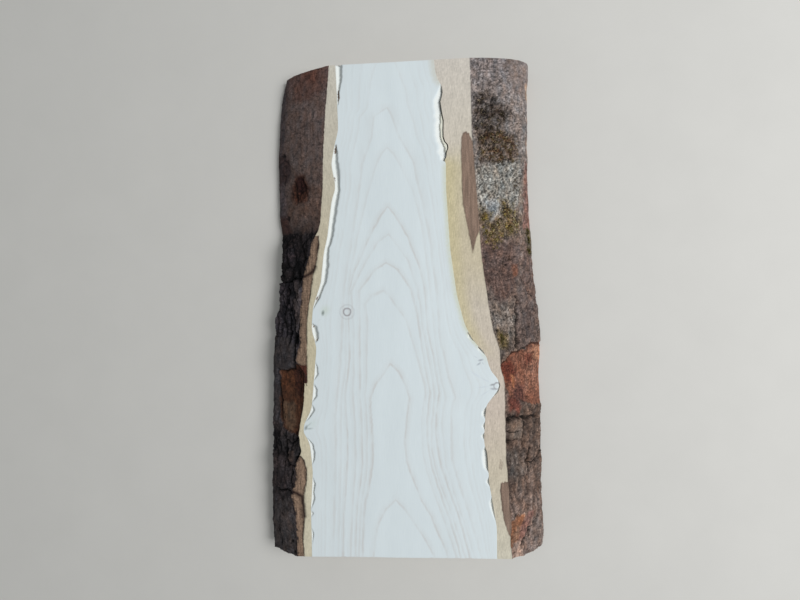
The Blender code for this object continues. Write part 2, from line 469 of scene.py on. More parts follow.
# each arch: (place, left leg, right leg), from its tip down
ARCHES = [
    [(184, -9, -9), (176, -21, -5), (157, -24, 1), (134, -32, 14), (98, -38, 21), (62, -44, 27),
     (22, -51, 31), (-22, -54, 34), (-65, -58, 42), (-80, -60, 46), (-94, -62, 42),
     (-136, -63, 42), (-176, -64.5, 54), (-225, -66, 68)],
    [(148, -10, -10), (142, -16, -4), (127, -22, 4), (107, -28, 14), (76, -37, 21), (39, -45, 24.5),
     (3, -50, 27), (-58, -52.5, 34), (-80, -56, 38), (-103, -58, 34), (-142, -59, 37.5),
     (-172, -60.5, 46), (-225, -62, 62)],
    [(94, -11, -11), (87, -17, -5), (65, -29, 8), (36, -42, 18.5), (16, -48, 21), (-18, -48, 23),
     (-44, -48, 29), (-76, -53, 33), (-89, -53, 30), (-112, -52, 28.5), (-142, -53, 33),
     (-187, -57, 48), (-225, -58, 57)],
    [(69, -11, -11), (62, -21, -5), (45, -32, 8), (18, -45, 15), (-18, -44, 19), (-61, -45, 27),
     (-82, -46, 28.5), (-104, -45, 25.5), (-127, -45, 25), (-150, -46, 29), (-180, -49, 40),
     (-225, -51, 53)],
    [(43, -13, -13), (37, -24, -2), (18, -38, 10), (-9, -38, 15), (-52, -39, 20.5),
     (-76, -40, 24.5), (-97, -39, 21.5), (-119, -38.5, 21), (-142, -39, 24.5), (-165, -42, 32),
     (-188, -45, 39.5), (-225, -47, 49)],
    [(18, -17, -15), (14, -27, -11), (6, -34, -6), (-9, -32, 4), (-36, -32.5, 12), (-67, -34, 20),
     (-77, -35, 21), (-89, -34.5, 18), (-109, -34, 17), (-127, -34.5, 16.5), (-146, -35, 20),
     (-165, -38, 26), (-183, -41, 33), (-225, -44, 45)],
    [(-48, -11, -11), (-57, -17, -3), (-68, -26, 2), (-80, -31, 6), (-97, -31, 3), (-119, -29.5, 0),
     (-139, -30.5, 2), (-157, -33, 8), (-174, -36.5, 15), (-187, -38.5, 24), (-225, -41, 38)],
    [(-172, -9, -9), (-181, -19, 0), (-195, -26, 9), (-208, -28.5, 18), (-225, -31, 27)],
]
TIPS = [arch[0][0] for arch in ARCHES]
TIP_MIDDLES = [0.5 * (arch[0][1] + arch[0][2]) for arch in ARCHES]
LOW_MIDDLE = -2.0       # where the arches' middle line ends at the near end


def ring_number(x, y, z, joint_left, joint_right):
    """Ring numbers of points at one place along the block, counted inwards from the bark."""
    legs_left, legs_right = [], []
    for number, arch in enumerate(ARCHES):
        down, left, right = zip(*arch[::-1])
        if y <= arch[0][0]:
            legs_left.append((float(np.interp(y, down, left)), FIRST_ARCH + number))
            legs_right.append((float(np.interp(y, down, right)), FIRST_ARCH + number))
    numbers = [FIRST_ARCH + i for i in range(len(ARCHES))]
    middle = float(np.interp(y, [-HALF_LENGTH] + TIPS[::-1], [LOW_MIDDLE] + TIP_MIDDLES[::-1]))
    at_middle = float(np.interp(y, [-HALF_LENGTH] + TIPS[::-1] + [HALF_LENGTH],
                                [numbers[-1] + 0.6] + numbers[::-1] + [FIRST_ARCH - 0.8]))
    left_x, left_number = (legs_left + [(middle, at_middle)])[0]
    right_x, right_number = (legs_right + [(middle, at_middle)])[0]
    bow = np.linspace(0.1, 0.9, 9)                # outside the arches the rings crowd to the bark
    left_bow = [(left_x - (left_x + joint_left) * u, left_number * (1 - u * u)) for u in bow[::-1]]
    right_bow = [(right_x + (joint_right - right_x) * u, right_number * (1 - u * u)) for u in bow]
    known = ([(-joint_left, 0)] + left_bow + legs_left + [(middle, at_middle)] + legs_right[::-1]
             + right_bow + [(joint_right, 0)])
    known_x, known_number = zip(*known)
    across = x - middle
    squared = across ** 2 - (THICK - z) * (2 * PITH_DOWN + THICK + z)
    on_top = middle + np.sign(across) * np.sqrt(np.maximum(squared, 0))
    shallow = np.interp(on_top, known_x, known_number)
    from_pith = np.hypot(across, PITH_DOWN + z)
    return shallow + np.maximum(PITH_DOWN + THICK - from_pith, 0) / RING_WIDTH


print(len(ARCHES), "arches, the innermost with its tip at", TIPS[-1], "mm along the block")

# %% [markdown]
# Gouges along the joint
#
# Where the bark has come loose, the saw and the drying have left long hollows in the wood beside
# it. On the left they are shallow bowls, and on the right they are deepest close to the bark. Each
# hollow is a few (place, width) pairs, so that it swells and narrows as on the block, and its depth
# across is one smooth curve. Cutting them with Booleans would lose the smooth lip.

# %% Gouges
# (place, width) pairs, depth, where across the width it is deepest (0 at the bark)
GOUGES = {
    "left": [
        ([(226, 7.5), (211, 6), (200, 2.8), (190, 1.4), (187, 0)], 2.5, 0.4),
        ([(153, 0), (150, 2.5), (143, 5.5), (134, 7.5), (127, 7.8), (117, 5.2), (111, 5.5),
          (104, 7), (90, 7.1), (78, 6.3), (67, 6.4), (57, 5.0), (50, 5.6), (42, 7.0), (34, 6.6),
          (27, 6.0), (18, 4.2), (12, 4.6), (5, 1.6), (0, 0)], 2.5, 0.4),
        ([(-11, 0), (-14, 5.4), (-20, 6.6), (-25, 5.0), (-29, 0)], 2.8, 0.3),
        ([(-46, 0), (-52, 3.2), (-58, 4.2), (-64, 0)], 1.7, 0.5),
        ([(-66, 0), (-72, 4.6), (-78, 4.6), (-84, 0)], 1.8, 0.5),
        ([(-85, 0), (-91, 4.4), (-97, 2.8), (-102, 0)], 1.7, 0.5),
        ([(-115, 0), (-122, 3.8), (-130, 4.6), (-136, 3.2), (-141, 0)], 1.8, 0.5),
        ([(-151, 0), (-159, 3.4), (-166, 2.4), (-173, 3.9), (-182, 0)], 1.7, 0.5),
        ([(-183, 0), (-185.5, 2.8), (-189, 0)], 1.8, 0.5),
        ([(-198, 0), (-204, 2.4), (-209, 1.6), (-216, 0)], 1.9, 0.5)],
    "right": [
        ([(203, 0), (200, 2.2), (196, 5.4), (190, 7.8), (180, 8.0), (166, 9.6), (152, 9.4),
          (145, 10.8), (139, 8.8), (134.5, 4.6), (132.5, 0)], 2.6, 0.05),
        ([(-22, 0), (-26, 4.2), (-31, 0)], 1.7, 0.15),
        ([(-34, 0), (-38, 4.4), (-43, 0)], 1.7, 0.15),
        ([(-64, 0), (-68, 1.5), (-76, 1.6), (-82, 0)], 2.4, 0.3),
        ([(-88, 0), (-93, 4.2), (-96, 4.0), (-99.5, 0)], 1.9, 0.15),
        ([(-101.5, 0), (-106, 3.2), (-110.5, 0)], 1.7, 0.15),
        ([(-111.5, 0), (-115, 3.4), (-119.5, 0)], 1.7, 0.15),
        ([(-124, 0), (-129, 5.0), (-137, 5.8), (-143, 5.0), (-148, 0)], 2.2, 0.15),
        ([(-151, 0), (-156, 3.8), (-161, 0)], 1.8, 0.15),
        ([(-169, 0), (-175, 3.6), (-182, 3.0), (-193, 0)], 1.7, 0.15)],
}
# a sliver that has come loose in the right gouge: (place, near side, far side) from the bark
SPLINTER = [(177, 0.9, 1.1), (172, 0.8, 2.5), (166, 0.9, 3.1), (158, 0.8, 2.8), (152, 0.8, 2.6),
            (147, 0.9, 3.8), (143.5, 0.8, 2.6), (141, 0.9, 1.1)]
LIP = 0.35                # share of a gouge's depth that is left right beside the bark


def hollow(side, places, inwards):
    """Depth of the gouges at places and distances in from the bark, and the share across them."""
    depth, across = np.zeros(inwards.shape), np.full(inwards.shape, 2.0)
    down = places.ravel()
    bumps = clouds(np.c_[down, down * 0, down * 0], 4.0, len(side)).reshape(places.shape)
    for pairs, deep, deepest in GOUGES[side]:
        along, widths = zip(*pairs[::-1])
        width = np.interp(places, along, widths) * (1 + 0.16 * bumps)
        share = inwards / np.maximum(width, 0.05)
        to_bark = LIP + (1 - LIP) * step(0, deepest, share)
        to_wood = 1 - step(deepest, 1.0, share)
        here = deep * np.clip(width / 3.0, 0, 1) * np.where(share < deepest, to_bark, to_wood)
        across = np.where(here > depth, share, across)
        depth = np.maximum(depth, here)
    if side == "right":
        depth = depth - splinter(places, inwards) * np.maximum(depth - 0.3, 0)
    return depth, across


def splinter(places, inwards):
    """1 on the loose sliver and 0 beside it."""
    along, near, far = zip(*SPLINTER[::-1])
    near, far = np.interp(places, along, near), np.interp(places, along, far)
    return step(0.0, 0.25, inwards - near) * step(0.0, 0.25, far - inwards)


print("gouges:", {side: len(found) for side, found in GOUGES.items()})

# %% [markdown]
# The wood's colours
#
# Fresh maple is nearly white, with thin rings only a shade darker. The colour is made in the
# material from the ring number, so that the lines stay sharp however coarse the mesh is. What is
# painted on the mesh belongs to a place: brown stains at the ends of the gouges, the yellow
# sapwood beside the bark, and painted light and shade on the slopes of the gouges.

# %% Wood material
WOOD_WHITE = linear(218, 220, 214)
WOOD_LINE = linear(204, 197, 187)
KNOT_LINE = linear(128, 112, 110)
# rings round the knots: middle, radius, strength
KNOT_RINGS = [(-49.7, -1.1, 3.3, 0.62), (-49.7, -1.1, 6.6, 0.14), (84.3, -70.2, 2.8, 0.45)]
# knots and their rays: middle, half length, half width, turn, colour, strength
SMUDGES = [
    (-70.0, 0.5, 7.0, 6.0, 60, (200, 205, 184), 0.55),
    (-72.0, -1.6, 3.4, 1.9, 80, (104, 110, 100), 0.85),
    (-75.5, -8.0, 2.2, 1.0, 40, (196, 200, 186), 0.3),
    (-49.4, 1.4, 2.2, 0.8, 5, (176, 170, 172), 0.5),
    (70.4, -46.8, 3.4, 1.3, 12, (130, 128, 134), 0.7),
    (68.6, -50.2, 3.0, 1.2, 35, (136, 134, 140), 0.6),
    (72.2, -49.6, 1.8, 0.7, -70, (150, 148, 150), 0.4),
    (66.0, -44.0, 3.0, 0.8, -30, (190, 188, 192), 0.4),
    (-90.0, -106.6, 3.4, 1.8, 65, (96, 102, 96), 0.85),
    (-86.8, -107.6, 4.2, 1.2, 5, (140, 146, 140), 0.65),
    (-87.0, -103.8, 4.0, 1.1, 42, (146, 150, 144), 0.55),
    (-84.5, -103.0, 9.0, 6.0, 30, (204, 209, 196), 0.4),
    (80.2, -69.0, 3.2, 1.3, 14, (126, 120, 120), 0.75),
    (80.8, -72.8, 3.6, 1.5, -8, (138, 134, 136), 0.65),
    (84.0, -67.3, 2.2, 0.8, 20, (150, 140, 136), 0.7),
    (86.2, -68.4, 2.0, 0.8, -52, (92, 80, 74), 0.8),
    (87.0, -71.2, 2.2, 0.9, 92, (84, 72, 66), 0.85),
    (85.4, -74.6, 2.8, 0.9, 58, (88, 76, 70), 0.8),
    (72.0, -71.0, 7.0, 0.9, 6, (188, 190, 196), 0.3),
    (73.5, -76.5, 7.0, 0.9, 32, (188, 190, 194), 0.3),
    (74.5, -65.0, 6.0, 0.9, -30, (190, 190, 196), 0.3),
    (66.0, -60.0, 8.0, 1.2, -35, (196, 198, 204), 0.3)]


def wood_material():
    """Planed maple: faint rings, fibres along the block and a few pin knots."""
    material, tree, shader = new_material("planed maple", 0.6, 0.25)
    place = add(tree, "TexCoord", {}).outputs["Object"]
    number, slope = painted(tree, "ring"), painted(tree, "ring_slope")
    waver = spread_to(tree, grain(tree, place, (2.5, 9, 2.5)), 0.2, 0.8, -0.5, 0.5)
    part = maths(tree, "SUBTRACT", maths(tree, "FRACT", maths(tree, "ADD", number, 0.5)), 0.5)
    from_line = maths(tree, "ADD", maths(tree, "DIVIDE", part, slope), waver)
    line = spread_to(tree, maths(tree, "ABSOLUTE", from_line), 0.3, 1.5, 0.8, 0.0)
    halo = spread_to(tree, maths(tree, "MULTIPLY", from_line, -1.0), 0.0, 5.0, 0.4, 0.0)
    outside = maths(tree, "LESS_THAN", from_line, 0.0)
    strength = maths(tree, "MULTIPLY", painted(tree, "ring_dark"),
                     spread_to(tree, grain(tree, place, (7, 22, 7)), 0.35, 0.6, 0.3, 1.0))
    shade = maths(tree, "MAXIMUM", line, maths(tree, "MULTIPLY", halo, outside))
    drawn = maths(tree, "MULTIPLY", shade, strength)
    colour = blended(tree, drawn, (*WOOD_WHITE, 1), (*WOOD_LINE, 1))
    fibre = grain(tree, place, (0.5, 14, 0.5), 3.0)
    colour = dimmed(tree, colour, spread_to(tree, fibre, 0.3, 0.7, 0.97, 1.02))
    cloud = grain(tree, place, (16, 90, 16), 1.0, (3.1, 0.4, 0.0))
    colour = dimmed(tree, colour, spread_to(tree, cloud, 0.3, 0.7, 0.975, 1.012))
    for x, y, radius, strong in KNOT_RINGS:
        flat = add(tree, "Mapping", {"Vector": place, "Location": (-x * MM, -y * MM, 0),
                                     "Scale": (1, 1, 0.0)})
        wobble = spread_to(tree, grain(tree, place, (3, 3, 3)), 0.0, 1.0, 0.85, 1.15)
        far = maths(tree, "MULTIPLY", add(tree, "VectorMath", {0: flat.outputs[0]},
                                          operation="LENGTH").outputs["Value"], wobble)
        ring = maths(tree, "ABSOLUTE", maths(tree, "SUBTRACT", far, radius * MM))
        colour = blended(tree, spread_to(tree, ring, 0.25 * MM, 1.1 * MM, strong, 0.0), colour,
                         (*KNOT_LINE, 1))
    for x, y, long, wide, turn, tint, strong in SMUDGES:
        local = add(tree, "Mapping", {"Vector": place, "Location": (x * MM, y * MM, 0),
                                      "Rotation": (0, 0, math.radians(turn)),
                                      "Scale": (long * MM, wide * MM, 10.0)}, vector_type="TEXTURE")
        far = add(tree, "VectorMath", {0: local.outputs[0]}, operation="LENGTH").outputs["Value"]
        near = spread_to(tree, far, 0.1, 1.0, strong, 0.0)
        colour = blended(tree, near, colour, (*linear(*tint), 1))
    # stains, sapwood and the painted light and shade of the gouges go over the rings
    colour = blended(tree, painted(tree, "stain_and_shade_share"), colour, painted(tree, "stain_and_shade", "Color"))
    tree.links.new(colour, shader.inputs["Base Color"])
    raised(tree, shader, fibre, 0.05, 0.35)
    return material


print(len(SMUDGES), "smudges for the knots and their rays")

# %% [markdown]
# The shape of the wood
#
# The top face needs fine columns beside the joints, for the gouges, and middling ones elsewhere,
# for the grain. The underside is plain and gets few. So each ring of points has its own spacing
# above and below. A cube cut up evenly would need ten times the points for the same gouges.

# %% Measure the wood's sides
WOOD_STEP = 0.8                # distance between two rings of points along the block
EDGE_COLUMNS = 24
EDGE_SPACING = 0.55
TOP_COLUMNS = 74
UNDER_COLUMNS = 30
SIDE_STEPS = 7
SIDE_DROP = 0.05               # each step down the side lies at least this much lower
FIT = 0.04                     # the thin line of air between wood and bark
END_ROWS = 8


def wood_side(side, places):
    """The wood's side down to the floor: distance from the middle line, and height."""
    sign = -1 if side == "left" else 1
    lines = long_lines("bark_" + side, sign, places)
    reach, angles, core = side_sheet("bark_" + side, sign, lines, places, SIDE_STEPS, outer=False)
    x, z = on_rays(reach - FIT, angles, core)
    x[:, 0], z[:, 0], z[:, -1] = lines["joint"] - FIT, THICK, 0.0
    return x, z


wood_places = even(WOOD_STEP)
wood_sides = {side: wood_side(side, wood_places) for side in ("left", "right")}
wood_joints = {side: wood_sides[side][0][:, 0] for side in wood_sides}
wood_widths = wood_joints["left"] + wood_joints["right"]
print("the white face is", round(wood_widths.min()), "to", round(wood_widths.max()), "mm wide")

# %% [markdown]
# Rings of points round the wood
#
# Each ring runs over the top face, down the right side, back along the underside and up the left
# side. The gouges lower the points of the top face, and the side below a gouge gives way to it.
# Sculpting would reach the same shape, but here a gouge can be moved by changing one number.

# %% Build the wood
def wood_rings():
    """Rings of points round the wood, and how many of each ring lie on the top face."""
    (left_x, left_z), (right_x, right_z) = wood_sides["left"], wood_sides["right"]
    edge = np.arange(EDGE_COLUMNS) * EDGE_SPACING
    left, right = edge[None, :] - left_x[:, :1], right_x[:, :1] - edge[None, ::-1]
    between = np.linspace(0, 1, TOP_COLUMNS + 2)[1:-1]
    middle = left[:, -1:] + (right[:, :1] - left[:, -1:]) * between
    top_x = np.concatenate([left, middle, right], axis=1)
    top_z = np.full_like(top_x, THICK)
    inwards, along = np.meshgrid(edge, wood_places)
    top_z[:, :EDGE_COLUMNS] -= hollow("left", along, inwards)[0]
    top_z[:, -EDGE_COLUMNS:] -= hollow("right", along, inwards)[0][:, ::-1]
    drop = SIDE_DROP * np.arange(1, SIDE_STEPS - 1)
    for z, column in ((left_z, 0), (right_z, -1)):
        z[:, 1:-1] = np.minimum(z[:, 1:-1], top_z[:, column, None] - drop)
    share = np.linspace(0, 1, UNDER_COLUMNS + 2)[1:-1]
    under_x = right_x[:, -1:] - (left_x[:, -1:] + right_x[:, -1:]) * share
    x = np.concatenate([top_x, right_x[:, 1:], under_x, -left_x[:, :0:-1]], axis=1)
    z = np.concatenate([top_z, right_z[:, 1:], 0 * under_x, left_z[:, :0:-1]], axis=1)
    return np.stack([x, np.repeat(wood_places[:, None], x.shape[1], 1), z], -1), top_x.shape[1]


def build_wood():
    """Points and faces of the planed slab."""
    rings, across = wood_rings()
    rows, columns = rings.shape[:2]
    points, faces = rings.reshape(-1, 3), ring_faces(rows, columns)
    for row in (0, rows - 1):
        over = row * columns + np.arange(across)
        round_under = row * columns + np.r_[0, np.arange(columns - 1, across - 2, -1)]
        points, new = fill_end(points, over, round_under, END_ROWS, across // 2)
        faces += new
    return points, faces


wood_points, wood_faces = build_wood()
print("wood:", len(wood_points), "points; deepest gouge on the left is",
      max(deep for _, deep, _ in GOUGES["left"]), "mm")

# %% [markdown]
# Ring numbers on the wood
#
# The material draws its lines from three painted values: the ring number, how fast it changes from
# point to point, so that every line comes out equally thin, and how dark each ring's line is. The
# rings waver a little in real wood, so the points are bent by noise before they are numbered. The
# built-in wave texture makes rings too, but only round ones.

# %% Number the rings
# how dark the line of each ring is, counted from the bark
LINE_DARKNESS = np.array([0.0, 0.1, 0.2, 0.22, 0.3, 0.35, 0.6, 0.42, 0.95, 0.65, 0.85, 0.6, 0.95,
                          0.75, 0.5, 0.8, 0.4, 0.9, 0.6])
END_DARKER = 1.8               # the sawn ends show their rings more
RING_REACH = np.diag([2.0, 4.0, 1.0])    # ring numbers are compared this far apart, each way
LEAST_SLOPE = 0.01


def ring_numbers(points, groups):
    """Ring numbers for points that are grouped by their place along the block."""
    found = np.empty(len(points))
    for group in groups:
        x, y, z = points[group].T
        joints = [np.interp(y[0], wood_places, wood_joints[side]) for side in ("left", "right")]
        found[group] = ring_number(x, y[0], z, *joints)
    return found


def ring_paint(points):
    """Ring numbers, how fast they change, and how dark the rings are."""
    y = points[:, 1]
    order = np.argsort(y, kind="stable")
    groups = np.split(order, np.flatnonzero(np.diff(y[order])) + 1)
    bent = points.copy()
    bent[:, 0] += 1.0 * clouds(points, (20, 45, 20), 6.0) + 0.35 * clouds(points, (7, 14, 7), 9.0)
    ring = ring_numbers(bent, groups)
    slopes = [(ring_numbers(bent + way, groups) - ring_numbers(bent - way, groups))
              / (2 * max(way)) for way in RING_REACH]
    on_end = abs(y) > HALF_LENGTH - TOUCH
    slope = np.hypot(slopes[0], np.where(on_end, slopes[2], slopes[1]))
    dark = LINE_DARKNESS[np.round(ring).astype(int) % len(LINE_DARKNESS)]
    return {"ring": ring, "ring_slope": np.maximum(slope, LEAST_SLOPE),
            "ring_dark": dark * np.where(on_end, END_DARKER, 1.0)}


wood_paint = ring_paint(wood_points)
print("rings on the block:", round(float(wood_paint["ring"].max())))

# %% [markdown]
# Stains, sapwood and slopes
#
# Where a gouge ends the wood is stained brown, and the youngest wood beside the right strip is
# yellow. The gouges are too narrow for the render's light alone to model them, so the slope that
# faces the light is painted a little paler and the one that faces away a little darker. All this
# could be painted by hand with a brush. As rules, it follows the gouges when they are moved.

# %% Paint the wood
STAIN_BROWN = linear(104, 74, 48)
# brown stains where gouges end: side, place, distance in from the joint, reach both ways
STAINS = [("left", 197, 1.4, 1.3, 7.0), ("left", 148, 1.4, 1.3, 4.5), ("left", 121, 0.6, 0.8, 3.0),
          ("left", -26, 2.4, 1.2, 1.4), ("left", -14, 1.4, 0.9, 1.0), ("left", 12, 0.9, 0.8, 2.6),
          ("right", -23, 0.8, 0.9, 2.6), ("right", -36, 0.8, 0.8, 2.0)]
STAINED_ABOVE = 20             # stains keep to the upper part of the side
# sapwood beside the right strip: colour, reach, strength, where it fades in and out
SAPWOOD = [(linear(208, 205, 180), 5.5, 0.85, (-58, -30), (126, 136)),
           (linear(206, 200, 184), 8.0, 0.9, (198, 205), (300, 301))]
# painted light for the gouge slope that faces the lamp, and the loose sliver's own cream
LIT_SLOPE, LOOSE = linear(231, 226, 213), linear(226, 218, 194)
# painted shade for the slope that faces away; on the right, the shadow beside the bark's wall
SHADED = {"left": linear(140, 141, 138), "right": linear(86, 80, 68)}
GOUGED = 14.0                  # no gouge reaches further in from the bark
FULL_SHADE = 0.8               # depth from which a slope is shaded in full


def lay_over(stain_and_shade, share, where, tint, strong):
    """Paints a tint on the points where it is stronger than what is there."""
    better = strong > share[where]
    stain_and_shade[where[better]] = tint
    share[where] = np.maximum(share[where], strong)


def slopes_of(side, depth, across, sliver):
    """Strengths of the painted light, the loose sliver and the painted shade across a gouge."""
    cut = np.clip(depth / FULL_SHADE, 0, 1)
    if side == "left":
        lit = 0.7 * (1 - step(0.3, 0.6, across))
        shaded = 0.65 * step(0.25, 0.95, across) * (1 - step(0.98, 1.04, across))
        return lit * cut, 0 * across, shaded * cut
    loose = sliver * (across < 1)
    lit = 0.75 * step(0.1, 0.2, across) * (1 - step(0.9, 1.03, across))
    shaded = 0.9 * (1 - step(0.07, 0.18, across)) * (1 - loose)
    return lit * cut, 0.95 * loose, shaded * cut


def paint_stain_and_shade(points):
    """Colour and strength of stains, sapwood and painted light and shade laid over the rings."""
    x, y, z = points.T
    to_left, to_right = (np.interp(y, wood_places, wood_joints[side]) for side in ("left", "right"))
    inwards = np.where(x < 0, to_left, to_right) - abs(x)
    stain_and_shade, share = np.tile(STAIN_BROWN, (len(points), 1)), np.zeros(len(points))
    ragged = clouds(points, 1.6, 4.0)
    for side, place, inside, wide, long in STAINS:
        here = ((x < 0) == (side == "left")) * (z > STAINED_ABOVE)
        far = np.hypot((inwards - inside) / wide, (y - place) / long) + 0.35 * ragged
        share = np.maximum(share, here * (1 - step(0.55, 1.1, far)) * 0.9)
    speckle = 1 + 0.5 * clouds(points, (1.2, 2.0, 1.2), 15.0)
    for tint, reach, strong, rise, fall in SAPWOOD:
        along = step(*rise, y) * (1 - step(*fall, y)) * strong * speckle
        here = (x > 0) * (z > THICK - 1.0) * (1 - step(0.0, reach, inwards + 0.8 * ragged))
        lay_over(stain_and_shade, share, np.arange(len(x)), tint, np.clip(here * along, 0, 1))
    for side, here in (("left", x < 0), ("right", x > 0)):
        near = np.flatnonzero(here & (inwards < GOUGED) & (z > THICK / 2))
        depth, across = hollow(side, y[near], inwards[near])
        strengths = slopes_of(side, depth, across, splinter(y[near], inwards[near]))
        # painted light and shade on the gouge slopes go over the stains
        for tint, strong in zip((LIT_SLOPE, LOOSE, SHADED[side]), strengths):
            lay_over(stain_and_shade, share, near, tint, strong)
    return {"stain_and_shade": stain_and_shade, "stain_and_shade_share": share}


wood_paint.update(paint_stain_and_shade(wood_points))
wood = make_piece("planed_wood", wood_points, wood_faces, wood_paint, wood_material())
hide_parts("wood_block")
print("painted over:", round(100 * float(wood_paint["stain_and_shade_share"].mean()), 1), "% of the wood")

# %% [markdown]
# The bark along the block
#
# Each strip of bark is a patchwork. Smooth young bark gives way to black plates, a fallen flake
# shows the red-brown layer under it, and lichen and moss grow on the side that faced the weather.
# Below all that lies a ground that changes slowly along the tree. A few places with a value each
# are enough for it, and what lies between them is blended. A ramp in the material could do this for
# the colour, but not for the relief, which has to change along with it.

# %% The ground along the bark
# Along the block: (place, colour as it looks in daylight)
GROUND = {
    "left": [(225, (80, 60, 55)), (196, (78, 65, 61)), (130, (76, 64, 60)), (95, (75, 59, 52)),
             (78, (60, 49, 45)), (70, (34, 29, 29)), (30, (36, 31, 33)), (24, (46, 41, 44)),
             (-24, (48, 43, 46)), (-52, (54, 49, 50)), (-108, (50, 44, 44)), (-116, (37, 33, 33)),
             (-131, (36, 32, 32)), (-140, (46, 39, 39)), (-225, (50, 44, 44))],
    "right": [(225, (134, 123, 120)), (190, (128, 117, 112)), (130, (126, 115, 108)),
              (70, (114, 98, 87)), (55, (103, 85, 78)), (5, (97, 80, 73)), (-20, (112, 100, 90)),
              (-38, (106, 91, 82)), (-90, (102, 84, 74)), (-150, (102, 84, 74)),
              (-190, (120, 100, 90)), (-225, (124, 106, 98))],
}
# Along the block: (place, share of the coarse relief)
COARSE = {
    "left": [(225, 0.1), (76, 0.15), (70, 0.9), (26, 1.0), (-24, 0.9), (-50, 0.35), (-110, 0.5),
             (-118, 1.2), (-134, 0.8), (-150, 0.4), (-225, 0.35)],
    "right": [(225, 0.1), (70, 0.2), (20, 0.35), (-30, 0.6), (-90, 0.5), (-100, 0.6), (-185, 0.55),
              (-225, 0.5)],
}
# Along the block: (place, share of small grains)
GRAINY = {
    "left": [(225, 0.15), (76, 0.2), (70, 0.9), (26, 0.6), (-50, 0.4), (-225, 0.45)],
    "right": [(225, 1.0), (62, 0.9), (52, 0.7), (8, 0.7), (-10, 0.9), (-36, 0.8), (-95, 0.7),
              (-225, 0.6)],
}
print("stated places along the bark:", {side: len(pairs) for side, pairs in GROUND.items()})

# %% [markdown]
# Patches of the bark
#
# The patches are stated as outlines seen from above, each with its colour, how soft its border is,
# how far it stands out, and how much of the coarse relief and the grains it keeps. They could be
# painted on an unwrapped mesh by hand, but outlines can be moved and recoloured one at a time.

# %% Patches
# outlines in which tufts of moss grow too
DARK_MOSS = [(70, 191), (79, 194), (88, 189), (101, 182), (104, 174), (95, 167), (93, 158),
             (74, 150), (68, 167)]
BROWN_MOSS = [(74, 156), (88, 160), (105, 158), (109, 145), (106, 133), (89, 129), (73, 134)]
GREEN_MOSS = [(91, 98), (103, 94), (111, 78), (105, 66), (90, 64), (81, 74), (91, 83)]
LOW_MOSS = [(87, -18), (94, -25), (95, -36), (88, -37), (85, -27)]
